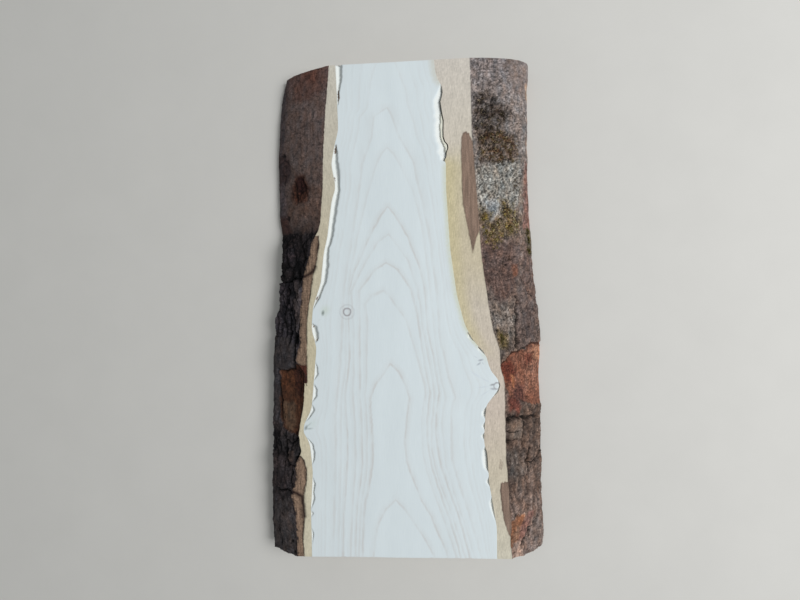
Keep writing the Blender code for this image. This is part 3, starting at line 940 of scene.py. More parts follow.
# Outline, colour, border, height, share of the coarse relief kept, share of the grains kept
PATCHES = {
    "left": [
        ([(100, 226), (70, 226), (68, 204), (84, 196), (98, 200)], (74, 54, 48), 9, 0.0, 1, 1),
        ([(88, 226), (74, 226), (72, 217), (80, 212), (88, 217)], (76, 50, 42), 8, 0.0, 1, 1),
        ([(126, 226), (106, 226), (112, 150), (110, 90), (108, 78), (126, 74)], (60, 52, 53), 9,
         0.0, 1, 1),
        ([(124, 152), (108, 150), (104, 138), (106, 124), (124, 122)], (50, 38, 37), 6, -0.3, 1, 1),
        ([(104, 118), (98, 130), (89, 127), (84, 113), (87, 102), (98, 101), (105, 108)],
         (60, 36, 26), 6, -0.9, 4, 1.4),
        ([(101, 120), (96, 128), (90, 125), (89, 114), (95, 110)], (38, 19, 15), 4, -0.6, 1.3, 1.2),
        ([(122, 92), (110, 92), (104, 74), (122, 74)], (54, 38, 35), 6, -0.2, 1, 1),
        ([(118, 72), (106, 75), (86, 70), (83, 61), (86, 46), (89, 34), (98, 28), (116, 26)],
         (27, 22, 22), 1.5, 0.7, 1, 1.3),
        ([(112, 60), (104, 62), (98, 54), (101, 46), (110, 48)], (38, 32, 34), 4, 0.3, 1, 1.2),
        ([(99, 27), (92, 27), (91, 5), (95, -20), (100, -20)], (62, 55, 55), 3, 0.2, 0.6, 0.5),
        # a sunk pit, painted near black as shade
        ([(101, -21), (96, -21), (96, -31), (101, -31)], (16, 13, 13), 1.5, -2.2, 0.3, 0),
        ([(122, -24), (104, -24), (101, -35), (102, -52), (112, -54), (125, -53), (126, -36)],
         (48, 43, 43), 1.5, 0.7, 0.35, 0.5),
        ([(117, -55), (101, -52), (100, -48), (90, -51), (91, -67), (92, -86), (96, -100),
          (98, -114), (105, -112), (112, -111), (119, -100), (120, -83), (119, -69)],
         (57, 35, 23), 1.2, -1.5, 0.05, 0.15),
        ([(116, -57), (106, -56), (104, -64), (106, -74), (114, -76), (117, -68)], (69, 41, 26), 6,
         0, 1, 1),
        ([(101, -50), (91, -52), (92, -77), (97, -84), (101, -72), (103, -58)], (48, 26, 18), 4,
         -0.3, 1, 1),
        ([(116, -86), (103, -84), (101, -104), (106, -111), (111, -109), (116, -98)], (74, 56, 43),
         5, 0, 1, 1),
        ([(108, -130), (103, -129), (101.5, -135), (104, -139), (109, -136)], (52, 42, 38), 2, 1.3,
         0.6, 0.6),
        ([(126, -182), (108, -171), (103, -190), (103, -226), (129, -226)], (54, 48, 47), 2, 0.5,
         0.4, 0.6),
        ([(116, -190), (108, -184), (106, -200), (112, -206)], (66, 58, 56), 4, 0.2, 1, 1)],
    "right": [
        ([(101, 226), (124, 226), (122, 195), (104, 196)], (120, 108, 103), 7, 0, 1, 0.35),
        (DARK_MOSS, (58, 48, 41), 8, 0.3, 1, 1.5),
        (BROWN_MOSS, (88, 66, 48), 7, 0.3, 1, 1.6),
        ([(69, 127), (92, 131), (112, 136), (111, 99), (103, 85), (83, 80), (70, 92)],
         (142, 136, 128), 7, 0.2, 1, 1.25),
        ([(75, 96), (88, 99), (90, 84), (78, 79)], (147, 145, 143), 8, 0, 1, 0.8),
        ([(72, 92), (83, 86), (81, 75), (73, 76)], (106, 87, 56), 6, 0.3, 1, 1.5),
        (GREEN_MOSS, (106, 86, 58), 7, 0.3, 1, 1.6),
        ([(76, 70), (87, 67), (92, 59), (87, 54), (78, 60)], (100, 82, 54), 6, 0.3, 1, 1.5),
        ([(117, 136), (126, 136), (124, 74), (114, 72)], (120, 91, 82), 4, -0.3, 1, 0.9),
        ([(117, 72), (127, 72), (128, 48), (118, 49)], (94, 82, 66), 4, 0.3, 1, 1),
        ([(118, 206), (124, 206), (124, 190), (119, 193)], (152, 128, 110), 3, -0.4, 1, 1),
        ([(119, 156), (125, 156), (125, 138), (120, 142)], (146, 120, 104), 3, -0.4, 1, 1),
        ([(110, 69), (112, 57), (110, 41), (108, 29), (105, 20), (102, 6), (100, -7), (103, -7),
          (105, 6), (107, 20), (110, 29), (112, 41), (114, 57)], (122, 103, 93), 3, 0.2, 1, 1),
        ([(111, 27), (116, 16), (122, 4), (120, 2), (113, 14)], (122, 92, 80), 3, 0.2, 1, 1),
        ([(74, 56), (102, 57), (105, 29), (100, 6), (79, 7), (76, 29)], (96, 77, 70), 8, 0, 0.8,
         1.2),
        ([(102, 38), (107, 38), (106, 29), (102, 28)], (108, 74, 60), 3.5, 0, 0.3, 0.8),
        ([(77, 16), (84, 6), (92, 1), (101, 9), (102, -21), (88, -34), (82, -20)],
         (128, 115, 106), 13, 0, 0.7, 1.2),
        (LOW_MOSS, (104, 90, 64), 5, 0.3, 1, 1),
        ([(110, 27), (105, 14), (104, -12), (104, -38), (130, -38), (130, 0), (124, 3), (116, 16)],
         (104, 88, 81), 1.2, 0.9, 0.6, 1.0),
        ([(116, 6), (110, -6), (112, -30), (122, -30), (122, -4)], (92, 78, 73), 6, 0, 1, 1),
        ([(87, -54), (93, -47), (98, -40), (103, -39), (112, -39), (116, -33), (131, -34),
          (134, -61), (131, -83), (132, -92), (117, -89), (107, -84), (97, -82), (91, -70)],
         (116, 76, 60), 1.2, -1.0, 0.08, 1.0),
        ([(114, -36), (130, -38), (131, -80), (113, -78), (110, -58)], (128, 88, 71), 7, 0.2, 1, 1),
        ([(88, -52), (98, -47), (103, -60), (96, -68), (90, -64)], (92, 48, 36), 5, 0, 1, 1),
        ([(98, -60), (100, -62), (101, -70), (101, -74), (99, -73), (98, -67)], (158, 104, 74), 3,
         0, 1, 1),
        ([(120, -36), (131, -37), (131, -52), (121, -47)], (158, 112, 88), 5, 0, 1, 1),
        ([(93, -80), (105, -82), (106, -90), (103, -99), (99, -92), (94, -96)], (92, 54, 45), 5,
         0.2, 0.6, 1),
        ([(101, -70), (109, -71), (112, -87), (99, -82)], (90, 58, 50), 5, 0, 1, 1),
        ([(112, -44), (122, -42), (119, -52), (111, -56)], (100, 58, 45), 5, 0, 1, 1),
        ([(95, -102), (108, -102), (108, -118), (95, -118)], (108, 91, 80), 2, 0.5, 0.3, 0.7),
        ([(92, -128), (103, -130), (109, -146), (103, -160), (92, -151)], (102, 89, 81), 8, 0,
         1, 1),
        ([(93, -194), (100, -188), (108, -189), (106, -202), (100, -213), (93, -215)],
         (122, 84, 62), 2.5, -0.7, 0.1, 0.9),
        ([(96, -206), (100, -198), (105, -200), (103, -208), (99, -213)], (132, 98, 78), 3, 0,
         1, 1),
        ([(103, -216), (112, -202), (118, -188), (112, -186), (106, -196), (100, -212)],
         (124, 90, 80), 3, 0, 0.6, 0.6),
        ([(114, -195), (131, -193), (131, -226), (112, -226)], (118, 102, 94), 6, 0.4, 0.6, 1),
        ([(96, -212), (104, -211), (105, -226), (96, -226)], (158, 132, 118), 3, -0.3, 0.3, 0.5)],
}
print("patches:", {side: len(patches) for side, patches in PATCHES.items()})

# %% [markdown]
# Cracks, pits and streaks
#
# The thick bark is split along and across, and small pits and holes are left where grains fell
# out. A crack is a path with a width and a depth. Cut into the mesh it would need points along its
# lips. Here it only pushes the surface in and paints shade into it, which is enough for cracks 1 mm
# wide. Pits are pushed in and painted with shade the same way, and a crack of negative depth is a
# pale scratch, painted paler.

# %% Cracks, pits and streaks
# Where smooth inner layers show, with streaks along the tree: outline
STREAKED = {
    "left": [[(120, -52), (89, -48), (92, -90), (98, -114), (112, -111), (120, -90)]],
    "right": [[(86, -54), (98, -40), (131, -34), (133, -90), (107, -84), (90, -70)],
              [(93, -188), (118, -186), (112, -226), (93, -226)]],
}
# Path, width, depth: cracks, the edges of plates, and a pale scratch that stands out
CRACKS = {
    "left": [([(101, 124), (98, 117), (99, 110), (96, 103)], 0.7, 0.8),
             ([(92, 125), (88, 114), (90, 106)], 0.6, 0.7),
             ([(104, 112), (99, 110), (92, 112)], 0.5, 0.5),
             ([(118, 142), (111, 146), (107, 140)], 0.7, 0.6),
             ([(114, 135), (110, 128), (113, 122)], 0.6, 0.6),
             ([(106, 176), (98, 166), (92, 158), (86, 154)], 0.35, -0.3),
             ([(116, 29), (107, 28), (101, 30), (93, 30), (87, 34), (80, 39)], 0.9, 3.2),
             ([(107, 24), (105, 8), (104, -10), (106, -30)], 1.1, 2.6),
             ([(101, 4), (99, -12), (100, -24)], 0.8, 2.0),
             ([(112, 16), (111, 2), (113, -14)], 0.7, 1.5),
             ([(101, -24), (101, -40), (102, -53)], 1.0, 2.4),
             ([(97, -20), (93, -7), (92, 6)], 0.6, 1.2),
             ([(119, -54), (111, -55), (103, -53)], 0.8, 1.8),
             ([(119, -56), (119, -78), (117, -100)], 0.8, 1.4),
             ([(97, -54), (96, -66), (98, -80)], 0.5, 0.7),
             ([(113, -116), (106, -122), (99, -118)], 0.9, 1.8),
             ([(112, -130), (110, -141), (101, -142), (99, -132)], 0.8, 2.0),
             ([(104, -146), (106, -156), (104, -164)], 0.9, 1.8),
             ([(121, -167), (112, -165), (105, -166), (98, -170), (95, -180)], 1.1, 3.4),
             ([(120, -192), (120, -206), (118, -218)], 0.6, 0.8)],
    "right": [([(104, 12), (104, -12), (103, -37)], 0.8, 1.8),
              ([(110, 27), (116, 15), (125, 1)], 0.6, 1.2),
              ([(88, -54), (97, -42), (107, -39), (117, -34), (130, -35)], 0.7, 1.0),
              ([(93, -104), (95, -100), (101, -99), (110, -101), (122, -102)], 1.1, 2.4),
              ([(108, -100), (108, -118)], 0.6, 1.0),
              ([(91, -111), (102, -112)], 0.5, 0.9),
              ([(93, -119), (103, -120)], 0.5, 0.9),
              ([(112, -142), (118, -142), (123, -138), (128, -132)], 0.8, 1.6),
              ([(114, -128), (111, -142), (113, -156)], 0.6, 1.2),
              ([(103, -217), (112, -203), (123, -194)], 0.7, 1.2)],
}
# Middle, radius, depth: small pits
PITS = {
    "left": [(116, -190, 1.6, 1.6), (122, -206, 1.5, 1.4), (106, -212, 1.8, 2.0),
             (104, -222, 1.4, 1.5), (112, -128, 2.0, 1.8), (101, -112, 1.2, 1.2),
             (108, 88, 2.2, 1.2), (112, 150, 2.0, 0.8), (98, -38, 1.2, 1.0)],
    "right": [(93, -120, 2.4, 2.4), (98, 44, 1.6, 0.8), (95, 38, 1.2, 0.8), (110, -140, 1.8, 1.4)],
}
print("cracks:", {side: len(paths) for side, paths in CRACKS.items()},
      "pits:", {side: len(pits) for side, pits in PITS.items()})

# %% [markdown]
# Patches with frayed borders
#
# The patches are laid over each other like paint, each with its colour, its height and its share of
# the relief. Noise bends the map before it is read, so that straight outlines come out ragged.
# Outlines with thousands of corners could be ragged by themselves, but nobody could edit them.

# %% Read the patches
MOSSY = 1.5                                    # patches with this much grain break up into islands


def table(pairs, places):
    """Reads a list of (place, value) at many places. A value may be a colour."""
    down, values = zip(*pairs[::-1])
    values = np.array(values, dtype=float).reshape(len(down), -1)
    return np.stack([np.interp(places, down, column) for column in values.T], -1).squeeze()


def moss_islands(spots):
    """1 where moss grows thick and 0 where it lets the bark through."""
    return step(-0.12, 0.22, clouds(spots, 5.0, 51.0) + 0.4 * clouds(spots, 2.2, 53.0))


def patched(side, spots, ragged, seed):
    """Colour, height, and shares of coarse and grainy relief, from the map of patches."""
    place = ragged[:, 1]
    coarse, grainy = table(COARSE[side], place), table(GRAINY[side], place)
    tint = table([(p, linear(*c)) for p, c in GROUND[side]], place)
    lift = 0.5 * clouds(spots, (22, 40, 22), seed)
    islands = moss_islands(spots)
    for outline, colour, border, height, keep, keep_grains in PATCHES[side]:
        mask = patch(ragged, outline, border)
        if keep_grains >= MOSSY:
            mask = mask * (0.55 + 0.45 * islands)
        tint += (linear(*colour) - tint) * mask[:, None]
        lift += height * mask
        coarse = coarse * (1 + (keep - 1) * mask)
        grainy = grainy * (1 + (keep_grains - 1) * mask)
    return tint, lift, coarse, grainy


print("bark colour at the far end:", table(GROUND["right"], [220.0]).round())

# %% [markdown]
# Relief of the bark
#
# The coarse relief is cells of noise drawn out along the tree: a plate in the middle of each cell
# and a fissure along its border. Small round cells make the crumbly grains, and stretched noise the
# fine streaks of smooth bark. All of it pushes the real surface, so plates throw true shadows, and
# shade is painted into the fissures and the gaps between grains as well. Bumps in the material
# would be lighter, but they leave the outline smooth.

# %% Plates, flakes and crumbs
PLATE = ((8.0, 19.0, 10.0), 1.5)               # size of a cell, and height
CRUMB = ((1.25, 1.5, 1.25), 0.42)
TERRACE = ((5.0, 12.0, 5.0), 0.35)


def plates(bent, coarse, seed):
    """Height of plates, fissures and flakes, with each plate's tone and painted shade in fissures."""
    border, own = cells(bent, PLATE[0], seed)
    plate = step(0.0, 0.3, border)
    lift = coarse * (PLATE[1] * (plate - 0.75) + 0.8 * (own - 0.5))
    # painted shade in the fissures, and each plate's own tone
    shade = 1 - 0.75 * np.clip(coarse, 0, 1) * (1 - plate) + 0.6 * coarse * (own - 0.45)
    layers = 3 * clouds(bent, TERRACE[0], seed + 7, 3)
    rise = layers - np.floor(layers)
    lift += (0.25 + coarse) * TERRACE[1] * (np.floor(layers) + step(0.7, 1.0, rise))
    return lift, shade * (1 + 0.16 * (0.3 + coarse) * (step(0.5, 1.0, rise) - 0.5))


def crumbs(spots, grainy, seed):
    """Height of the small grains, their own tone, and painted shade in the gaps between them."""
    border, own = cells(spots, CRUMB[0], seed + 3)
    crumb = step(0.0, 0.45, border)
    # each grain's own tone, and painted shade in the gaps between grains
    return grainy * CRUMB[1] * (crumb - 0.6), 1 + grainy * (0.9 * (own - 0.45) - 0.5 * (1 - crumb))


def cuts(side, ragged):
    """Depth of the cracks and the pits, and the painted shade in them; scratches are painted paler.
    """
    lift, shade = np.zeros(len(ragged)), np.ones(len(ragged))
    for path, width, depth in CRACKS[side]:
        cut = np.exp(-(away(ragged, path) / width) ** 2)
        lift -= depth * cut
        # painted shade in the crack, or a paler scratch where the depth is negative
        shade *= 1 - np.sign(depth) * min(0.88, abs(depth)) * cut
    for x, y, radius, depth in PITS[side]:
        cut = np.exp(-(np.hypot(*(ragged - (x, y)).T) / radius) ** 4)
        lift -= depth * cut
        # painted shade in the pit
        shade *= 1 - 0.8 * cut
    return lift, shade


print("plates rise by up to", PLATE[1], "mm and crumbs by", CRUMB[1], "mm")

# %% [markdown]
# Weathered shades and painted glints
#
# Old bark is streaked along the tree, blotched by damp, and dotted with pale specks. On the rough
# plates the specks grow into painted glints, which stand in for highlights. Shades are laid over
# the patches by noise of several sizes. Each speck could be painted by hand too, but nobody could
# tell the difference.

# %% Shape and paint a strip's outside
HEAD_ROOM = {"left": 1.6, "right": 1.25}       # the bark is paler than it looks in its own shade
COOL = np.array([1.064, 1.016, 0.943])         # makes up for the cool daylight
DARKEST, PALEST = 0.08, 2.2                    # shades stay between these


def weathering_and_glints(side, spots, bent, ragged, rough, streak, seed):
    """Shade of streaks, blotches, damp spots, pale specks, and painted glints on rough plates."""
    streaky = sum(patch(ragged, outline, 3.0) for outline in STREAKED[side])
    long_streaks = clouds(bent, (1.8, 13.0, 1.8), seed + 17, 2)
    shade = 1 + (0.07 + 0.16 * rough) * streak + streaky * 0.5 * long_streaks
    shade *= (1 + 0.3 * clouds(spots, (6, 9, 6), seed + 15, 3)
              + 0.4 * clouds(spots, (2.6, 1.8, 2.6), seed + 19, 2))
    shade *= 1 - 0.4 * step(0.3, 0.5, clouds(bent, (5.0, 2.2, 5.0), seed + 23, 2))
    # pale specks everywhere, and painted glints where the bark is rough
    return shade * (1 + (0.25 + 1.1 * rough) * step(0.42, 0.6, clouds(spots, 1.3, seed + 25)))


def bark_outside(side, spots):
    """Height of the relief and the colour at points of a strip's outside."""
    seed = 3.0 if side == "left" else 11.0
    fray = np.stack([clouds(spots, 6, seed + k, 2) * 1.6 + clouds(spots, 1.9, seed + k + 5) * 0.8
                     for k in (0, 20)], -1)
    ragged = spots[:, :2] + fray
    bent = spots + np.c_[fray, fray[:, :1]] * 0.8
    tint, lift, coarse, grainy = patched(side, spots, ragged, seed)
    streak = clouds(spots, (1.0, 9.0, 1.0), seed + 9, 2)
    lift += 0.14 * streak + 0.12 * clouds(spots, 0.9, seed + 13)
    shade = weathering_and_glints(side, spots, bent, ragged, np.clip(coarse, 0, 1), streak, seed)
    # plates, grains and cuts add relief, own tones and painted shade in fissures, gaps, cracks and
    # pits
    for rise, tone in (plates(bent, coarse, seed), crumbs(spots, grainy, seed), cuts(side, ragged)):
        lift += rise
        shade *= tone
    warm = 0.12 * clouds(spots, (5, 9, 5), seed + 21, 2)
    tint *= 1 + warm[:, None] * np.array([1.0, 0.0, -0.8])
    return lift, tint * np.clip(shade, DARKEST, PALEST)[:, None] * HEAD_ROOM[side] * COOL


sample = bark_outside("right", np.array([(100.0, place, 25.0) for place in (200, 0, -60, -200)]))
print("relief at four places on the right, in mm:", sample[0].round(2))

# %% [markdown]
# The sawn rim
#
# On the top face the saw shows the bark's layers. Next to the wood lies cream inner bark with
# fine fibres. On the right it holds brown slivers of old bark. On the left, where the outer bark is
# thick, its own sawn edge is tan, with cross ripples left by the blade. Separate strips could be
# laid side by side, but one rim with painted layers has no seams to hide.

# %% The rim's own map
# the inner bark's colour along the block: (place, colour)
CREAM = {"left": [(225, (192, 185, 172)), (60, (187, 176, 153)), (-60, (190, 179, 152)),
                  (-130, (198, 187, 162)), (-225, (198, 188, 165))],
         "right": [(225, (198, 189, 178)), (150, (197, 187, 172)), (126, (191, 179, 152)),
                   (40, (191, 178, 154)), (0, (193, 181, 165)), (-90, (194, 179, 165)),
                   (-150, (193, 181, 161)), (-225, (195, 187, 169))]}
# the boundary between cream inner bark and the tan sawn edge: (place, distance)
TAN_EDGE = [(71, 99), (69, 75), (61, 74.8), (48, 76.8), (40, 78.8), (31, 81.4), (14, 84.1),
            (0, 86.4), (-14, 87.9), (-30, 87.9), (-48.5, 88.3), (-66, 88.6), (-67, 200),
            (-131, 200), (-132, 97), (-136, 93.6), (-144, 91), (-155, 91.2), (-168, 93.6),
            (-179, 94.6), (-191, 93.8), (-208, 95.8), (-225, 95)]
# cracks in the tan edge: path, width
RIM_CRACKS = [([(75.4, 69), (75.0, 60), (77, 48), (78.8, 40)], 0.55),
              ([(78.6, 41), (80.6, 37), (85, 34), (92, 31)], 1.6),
              ([(81.4, 31), (84.1, 14), (86.6, 0)], 0.4),
              ([(96, -133), (93, -137), (91, -146), (91.3, -156), (93, -165)], 0.6),
              ([(106, -165), (99.6, -167.5), (95.9, -170), (94.1, -179), (93.6, -188)], 1.9),
              ([(93.6, -186), (94.8, -200), (95.6, -210), (94.8, -225)], 0.55),
              ([(92, -57), (90, -62), (88.8, -68)], 0.4)]
# where the red layer shows in it
RED_RIM = [(110, -49.3), (88.4, -49.3), (88.0, -58), (88.0, -69), (110, -69)]
# brown slivers: outline of the inner side, from one tip to the other
SLIVERS = [[(64.2, 157), (61.5, 159), (58.6, 157.5), (57.2, 154), (56.6, 142), (56.7, 106),
            (57.2, 93), (58.9, 84), (60.5, 75), (62.1, 66), (63.7, 58.5), (65.0, 49), (66.6, 55),
            (69.0, 63.7), (73, 72), (80, 120), (80, 143), (68.2, 147)],
           [(89, -156), (85.5, -157), (84.6, -163), (85.2, -172), (85.9, -181), (87.4, -190),
            (89, -197), (91.5, -203.5), (95, -208), (105, -200), (105, -156)],
           [(85, -135), (88, -138), (87, -145), (84, -144)]]
print(len(SLIVERS), "slivers on the right,", len(RIM_CRACKS), "cracks in the tan edge on the left")

# %% [markdown]
# Colours of the rim
#
# The saw leaves cream bark nearly even and tan bark rippled and flecked. The rim is darker in a
# thin line along the corner. The layers are laid over each other by shares from 0 to 1, like thin
# coats of paint. It could be done with mix nodes in the material, but here each coat can follow
# the map.

# %% Paint the rim
YELLOW = linear(193, 180, 141)
TAN, RED_LAYER, CHIPPED = linear(116, 95, 79), linear(70, 38, 29), linear(38, 30, 28)
CRACK_BROWN, SLIVER_BROWN = linear(30, 14, 11), linear(131, 108, 94)
RIM_SEED = 23.0


def over(tint, colour, share):
    """Lays a colour over another, by a share from 0 to 1."""
    return tint + (colour - tint) * share[:, None]


def cream_paint(side, spots, joint):
    """The inner bark's colour, and the soft shades along it."""
    x, y = spots[:, 0], spots[:, 1]
    cream = table([(p, linear(*c)) for p, c in CREAM[side]], y)
    if side == "right":
        yellow = (1 - step(1.0, 15.0, x - joint)) * step(-50, -20, y) * (1 - step(130, 140, y))
        cream = over(cream, YELLOW, 0.68 * yellow)
    soft = clouds(spots, (3, 16, 3), RIM_SEED + 2, 2)
    dots = clouds(spots, (0.9, 1.6, 0.9), RIM_SEED + 8)
    return cream * (1.04 + 0.09 * soft + 0.16 * dots)[:, None], soft


def tan_edge(spots, fray, corner, tint, soft):
    """Lays the tan sawn edge, its red layer, chips and cracks over the cream, on the left."""
    x, y = spots[:, 0], spots[:, 1]
    boundary = table(TAN_EDGE, y)
    tan = step(-0.4, 0.4, x + fray - boundary)
    ripple = 1 + 0.07 * np.sin(y * 2.9 + 2 * clouds(spots, 5, RIM_SEED))
    layers = (1 + 0.55 * clouds(spots, (1.3, 16, 1.3), RIM_SEED + 3, 2)
              + 0.3 * clouds(spots, (2, 3, 2), RIM_SEED + 4, 2))
    across = 1 - 0.35 * step(0.7, 1.0, (x - boundary) / np.maximum(corner - boundary, 1.0))
    light = (1 + 0.2 * (1 - step(-150, -100, y))) * (1 + 0.2 * soft)
    tint = over(tint, TAN * (ripple * layers * across * light)[:, None], tan)
    broken = clouds(np.c_[y, y * 0, y * 0], 14.0, 3.0) + 0.45
    line = np.exp(-((x + fray - boundary) / 0.6) ** 2) * step(0.0, 0.5, broken) * (abs(y) < 222)
    tint = tint * (1 - 0.8 * line * (corner - boundary > 1))[:, None]
    red = patch(np.c_[x + fray, y + fray], RED_RIM, 0.8)
    tint = over(tint, RED_LAYER * layers[:, None], red * tan)
    chips = clouds(spots, (3, 3.6, 3), RIM_SEED + 5, 2)
    tint = over(tint, CHIPPED, step(0.0, 0.35, chips) * step(-3.0, -0.8, x - corner) * tan)
    for path, width in RIM_CRACKS:
        cut = np.exp(-(away(np.c_[x + 1.5 * fray, y], path) / width) ** 2)
        tint = over(tint, CRACK_BROWN, 0.95 * cut)
    return tint, 1 - tan


def slivers(spots, fray, tint):
    """Lays the brown slivers over the cream, on the right."""
    ragged = np.c_[spots[:, 0] + fray, spots[:, 1] + 3 * fray]
    fibrous = np.ones(len(spots))
    for number, outline in enumerate(SLIVERS):
        mask = patch(ragged, outline, 0.9 if number else 1.3)
        edge = np.exp(-(away(ragged, outline, closed=True) / 1.1) ** 2) * mask
        stripe = 1 + 0.45 * clouds(spots, (1.3, 24, 1.3), RIM_SEED + 6, 2) - 0.42 * edge
        tint = over(tint, SLIVER_BROWN * stripe[:, None], mask * (0.97 if number < 2 else 0.35))
        fibrous = fibrous * (1 - 0.6 * mask)
    return tint, fibrous


def rim_paint(side, spots, joint, corner):
    """Colour, and how much it is fibrous cream, for points of the sawn rim."""
    fray = (0.35 * clouds(spots, (1.5, 4, 1.5), RIM_SEED)
            + 0.2 * clouds(spots, (0.8, 1.5, 1), RIM_SEED + 1))
    tint, soft = cream_paint(side, spots, joint)
    if side == "left":
        tint, fibrous = tan_edge(spots, fray, corner, tint, soft)
    else:
        tint, fibrous = slivers(spots, fray, tint)
    # a thin line just inside the corner is painted darker
    darker_by_corner = 1 - 0.35 * step(-0.9, -0.1, spots[:, 0] - corner) * (1 if side == "right" else 0.5)
    return tint * darker_by_corner[:, None] * COOL, fibrous


print("tan edge starts", [round(float(v)) for v in table(TAN_EDGE, [50.0, -160.0])],
      "mm from the middle line, at two places")

# %% [markdown]
# Bark material
#
# The painted colour sets the patches. The material adds what is finer than the mesh: a dusty
# grain with its own bumps on the rough outside, and long pale fibres on the sawn rim. Two
# materials would need a border between them, but one that blends can fade from sawn to rough.

# %% Bark material
DUSTY, SAWN = (0.62, 1.42), (0.84, 1.12)       # how far dust and fibres shade the painted colour


def bark_material(name):
    """Dry bark with a sawn rim, both from the painted colour."""
    material, tree, shader = new_material(name, 0.9, 0.18)
    place = add(tree, "TexCoord", {}).outputs["Object"]
    tint = painted(tree, "tint", "Color")
    fibrous = painted(tree, "fibrous")
    dust = grain(tree, place, (0.7, 1.0, 0.7), 4.0)
    rough = dimmed(tree, tint, spread_to(tree, dust, 0.3, 0.7, *DUSTY))
    fibre = grain(tree, place, (0.45, 7, 0.6), 3.0)
    sawn = dimmed(tree, tint, spread_to(tree, fibre, 0.3, 0.7, *SAWN))
    tree.links.new(blended(tree, fibrous, rough, sawn), shader.inputs["Base Color"])
    height = maths(tree, "ADD",
                   maths(tree, "MULTIPLY", dust, spread_to(tree, fibrous, 0, 1, 1.0, 0.1)),
                   maths(tree, "MULTIPLY", fibre, spread_to(tree, fibrous, 0, 1, 0.2, 0.35)))
    raised(tree, shader, height, 0.55, 0.8)
    return material


print("dust shades the rough bark by", DUSTY, "and fibres shade the sawn rim by", SAWN)

# %% [markdown]
# The flank of a strip
#
# A strip is one closed loft like the wood: the rim on top, the relief down the flank, the foot, and
# the smooth joint up the inside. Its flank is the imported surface, evened out, with the relief added
# along the rays. A displacement modifier would do the same, but it could not keep the bark out of
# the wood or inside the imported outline.

# %% Measure and shape the flanks
BARK_STEP = 0.64                               # distance between two rings of points
ZERO = 0.37              # the map of the bark is measured from a line this far right of the middle
COLUMNS = {"left": (18, 100), "right": (36, 86)}       # across the rim, and down the flank
JOINT_COLUMNS = 10
ALONG_EVENED, DOWN_EVENED = 2.2 / BARK_STEP, 2.0       # rings and columns the flank is evened over
TAPER = 1.2                                            # relief fades this near to the saw's cut
FOOT_TAPER = 2.5                                       # and this near to the foot
DOWN_FLANK = THICK + 18                                # length of the flank, about
THINNEST = 0.8                                         # bark left over the joint
LEAST_RIM = 2.0                                        # and between the joint and the corner
LEAST_DROP, OFF_FLOOR = 0.02, 0.1                      # keep the flank below the top, off the floor
RAGGED = {"left": 0.9, "right": 0.45}                  # how far the corner wanders


def as_spots(x, z, sign, places):
    """Points of a sheet in the bark's own map, one side like the other."""
    along = np.repeat(places[:, None], x.shape[1], 1)
    return np.stack([x - sign * ZERO, along, z], -1).reshape(-1, 3)


def build_flank(side, sign, lines, places, inner):
    """The flank's points, its map, its relief and its colour."""
    count = COLUMNS[side][1]
    reach, angles, core = side_sheet("bark_" + side, sign, lines, places, count, outer=True)
    reach = soften(soften(reach, ALONG_EVENED), DOWN_EVENED, axis=1)
    down = np.c_[places, places * 0, places * 0]
    chipped = RAGGED[side] * (clouds(down, 5.0, 2.0, 2) + 0.5 * clouds(down, 1.8, 6.0))
    reach += chipped[:, None] * np.exp(-np.arange(count) / 5.0)
    spots = as_spots(*on_rays(reach, angles, core), sign, places)
    lift, tint = bark_outside(side, spots)
    from_top = np.arange(count) * DOWN_FLANK / count
    lift = lift.reshape(reach.shape) * (0.35 + 0.65 * step(0, TAPER, from_top))
    lift *= step(0, FOOT_TAPER, from_top[::-1])
    beneath = np.array([np.interp(-outer, -inward, far)
                        for outer, inward, far in zip(angles, inner[1], inner[0])])
    lift = np.maximum(lift, THINNEST - np.maximum(reach - beneath, THINNEST))
    x, z = on_rays(reach + lift, angles, core)
    x = np.minimum(x, abs(cad_box[side == "right"][0]) / MM)
    z = np.minimum(z, THICK - LEAST_DROP * np.arange(count))
    z[:, 0], z[:, -1] = THICK, 0.0
    z[:, 1:-1] = np.maximum(z[:, 1:-1], OFF_FLOOR)
    x[:, 0] = np.maximum(x[:, 0], lines["joint"] + LEAST_RIM)
    return x, z, spots, tint


print("relief is kept within", round(abs(cad_box[0][0]) / MM, 1), "mm of the middle on the left")

# %% [markdown]
# The rim and the ends of a strip
#
# The rim joins the wood to the flank's upper edge. The sawn ends of the bark show its two layers:
# dark outside, cream inside. They could be pieces of their own, but bark is one grown layer, and a
# closed mesh has no cracks at its edges.

# %% Shape the rim and paint the ends
TAN_SUNK = 0.25                                        # the tan edge lies a little lower
END_DARK, END_PALE = linear(96, 72, 58), linear(188, 174, 146)
BARK_END_ROWS = 10
END_COUNT = 60


def end_paint(points):
    """Colour of a strip's sawn end, and how much of it is cream."""
    layer = np.repeat(np.arange(1, BARK_END_ROWS + 1) / (BARK_END_ROWS + 1), END_COUNT)
    pale = step(0.42, 0.55, layer + 0.06 * clouds(points, 3.0, 8.0))
    dark = END_DARK * (1 + 0.35 * clouds(points, 1.6, 2.0, 2))[:, None]
    return over(dark, END_PALE, pale), pale


def build_rim(side, sign, joint, corner, places):
    """The rim's points from the joint to the corner, its colour, and how fibrous it is."""
    count = COLUMNS[side][0]
    x = joint[:, None] + (corner - joint)[:, None] * np.linspace(0, 1, count + 1)[:-1]
    spots = as_spots(x, np.full_like(x, THICK), sign, places)
    in_map = [np.repeat(line - sign * ZERO, count) for line in (joint, corner)]
    tint, fibrous = rim_paint(side, spots, *in_map)
    z = THICK - TAN_SUNK * (1 - fibrous).reshape(x.shape) * (side == "left")
    return x, z, tint, fibrous


print("each end of a strip is filled by", BARK_END_ROWS, "rows of", END_COUNT, "points")

# %% [markdown]
# Closing the strips
#
# Rim, flank and joint make one ring at each place along the block, and the rings are joined like
# those of the wood. Modelled as two surfaces, the bark would be open below. Closed, it can also be
# turned over and looked at from underneath.

# %% Build the strips
JOINT_TAN = linear(176, 160, 130)


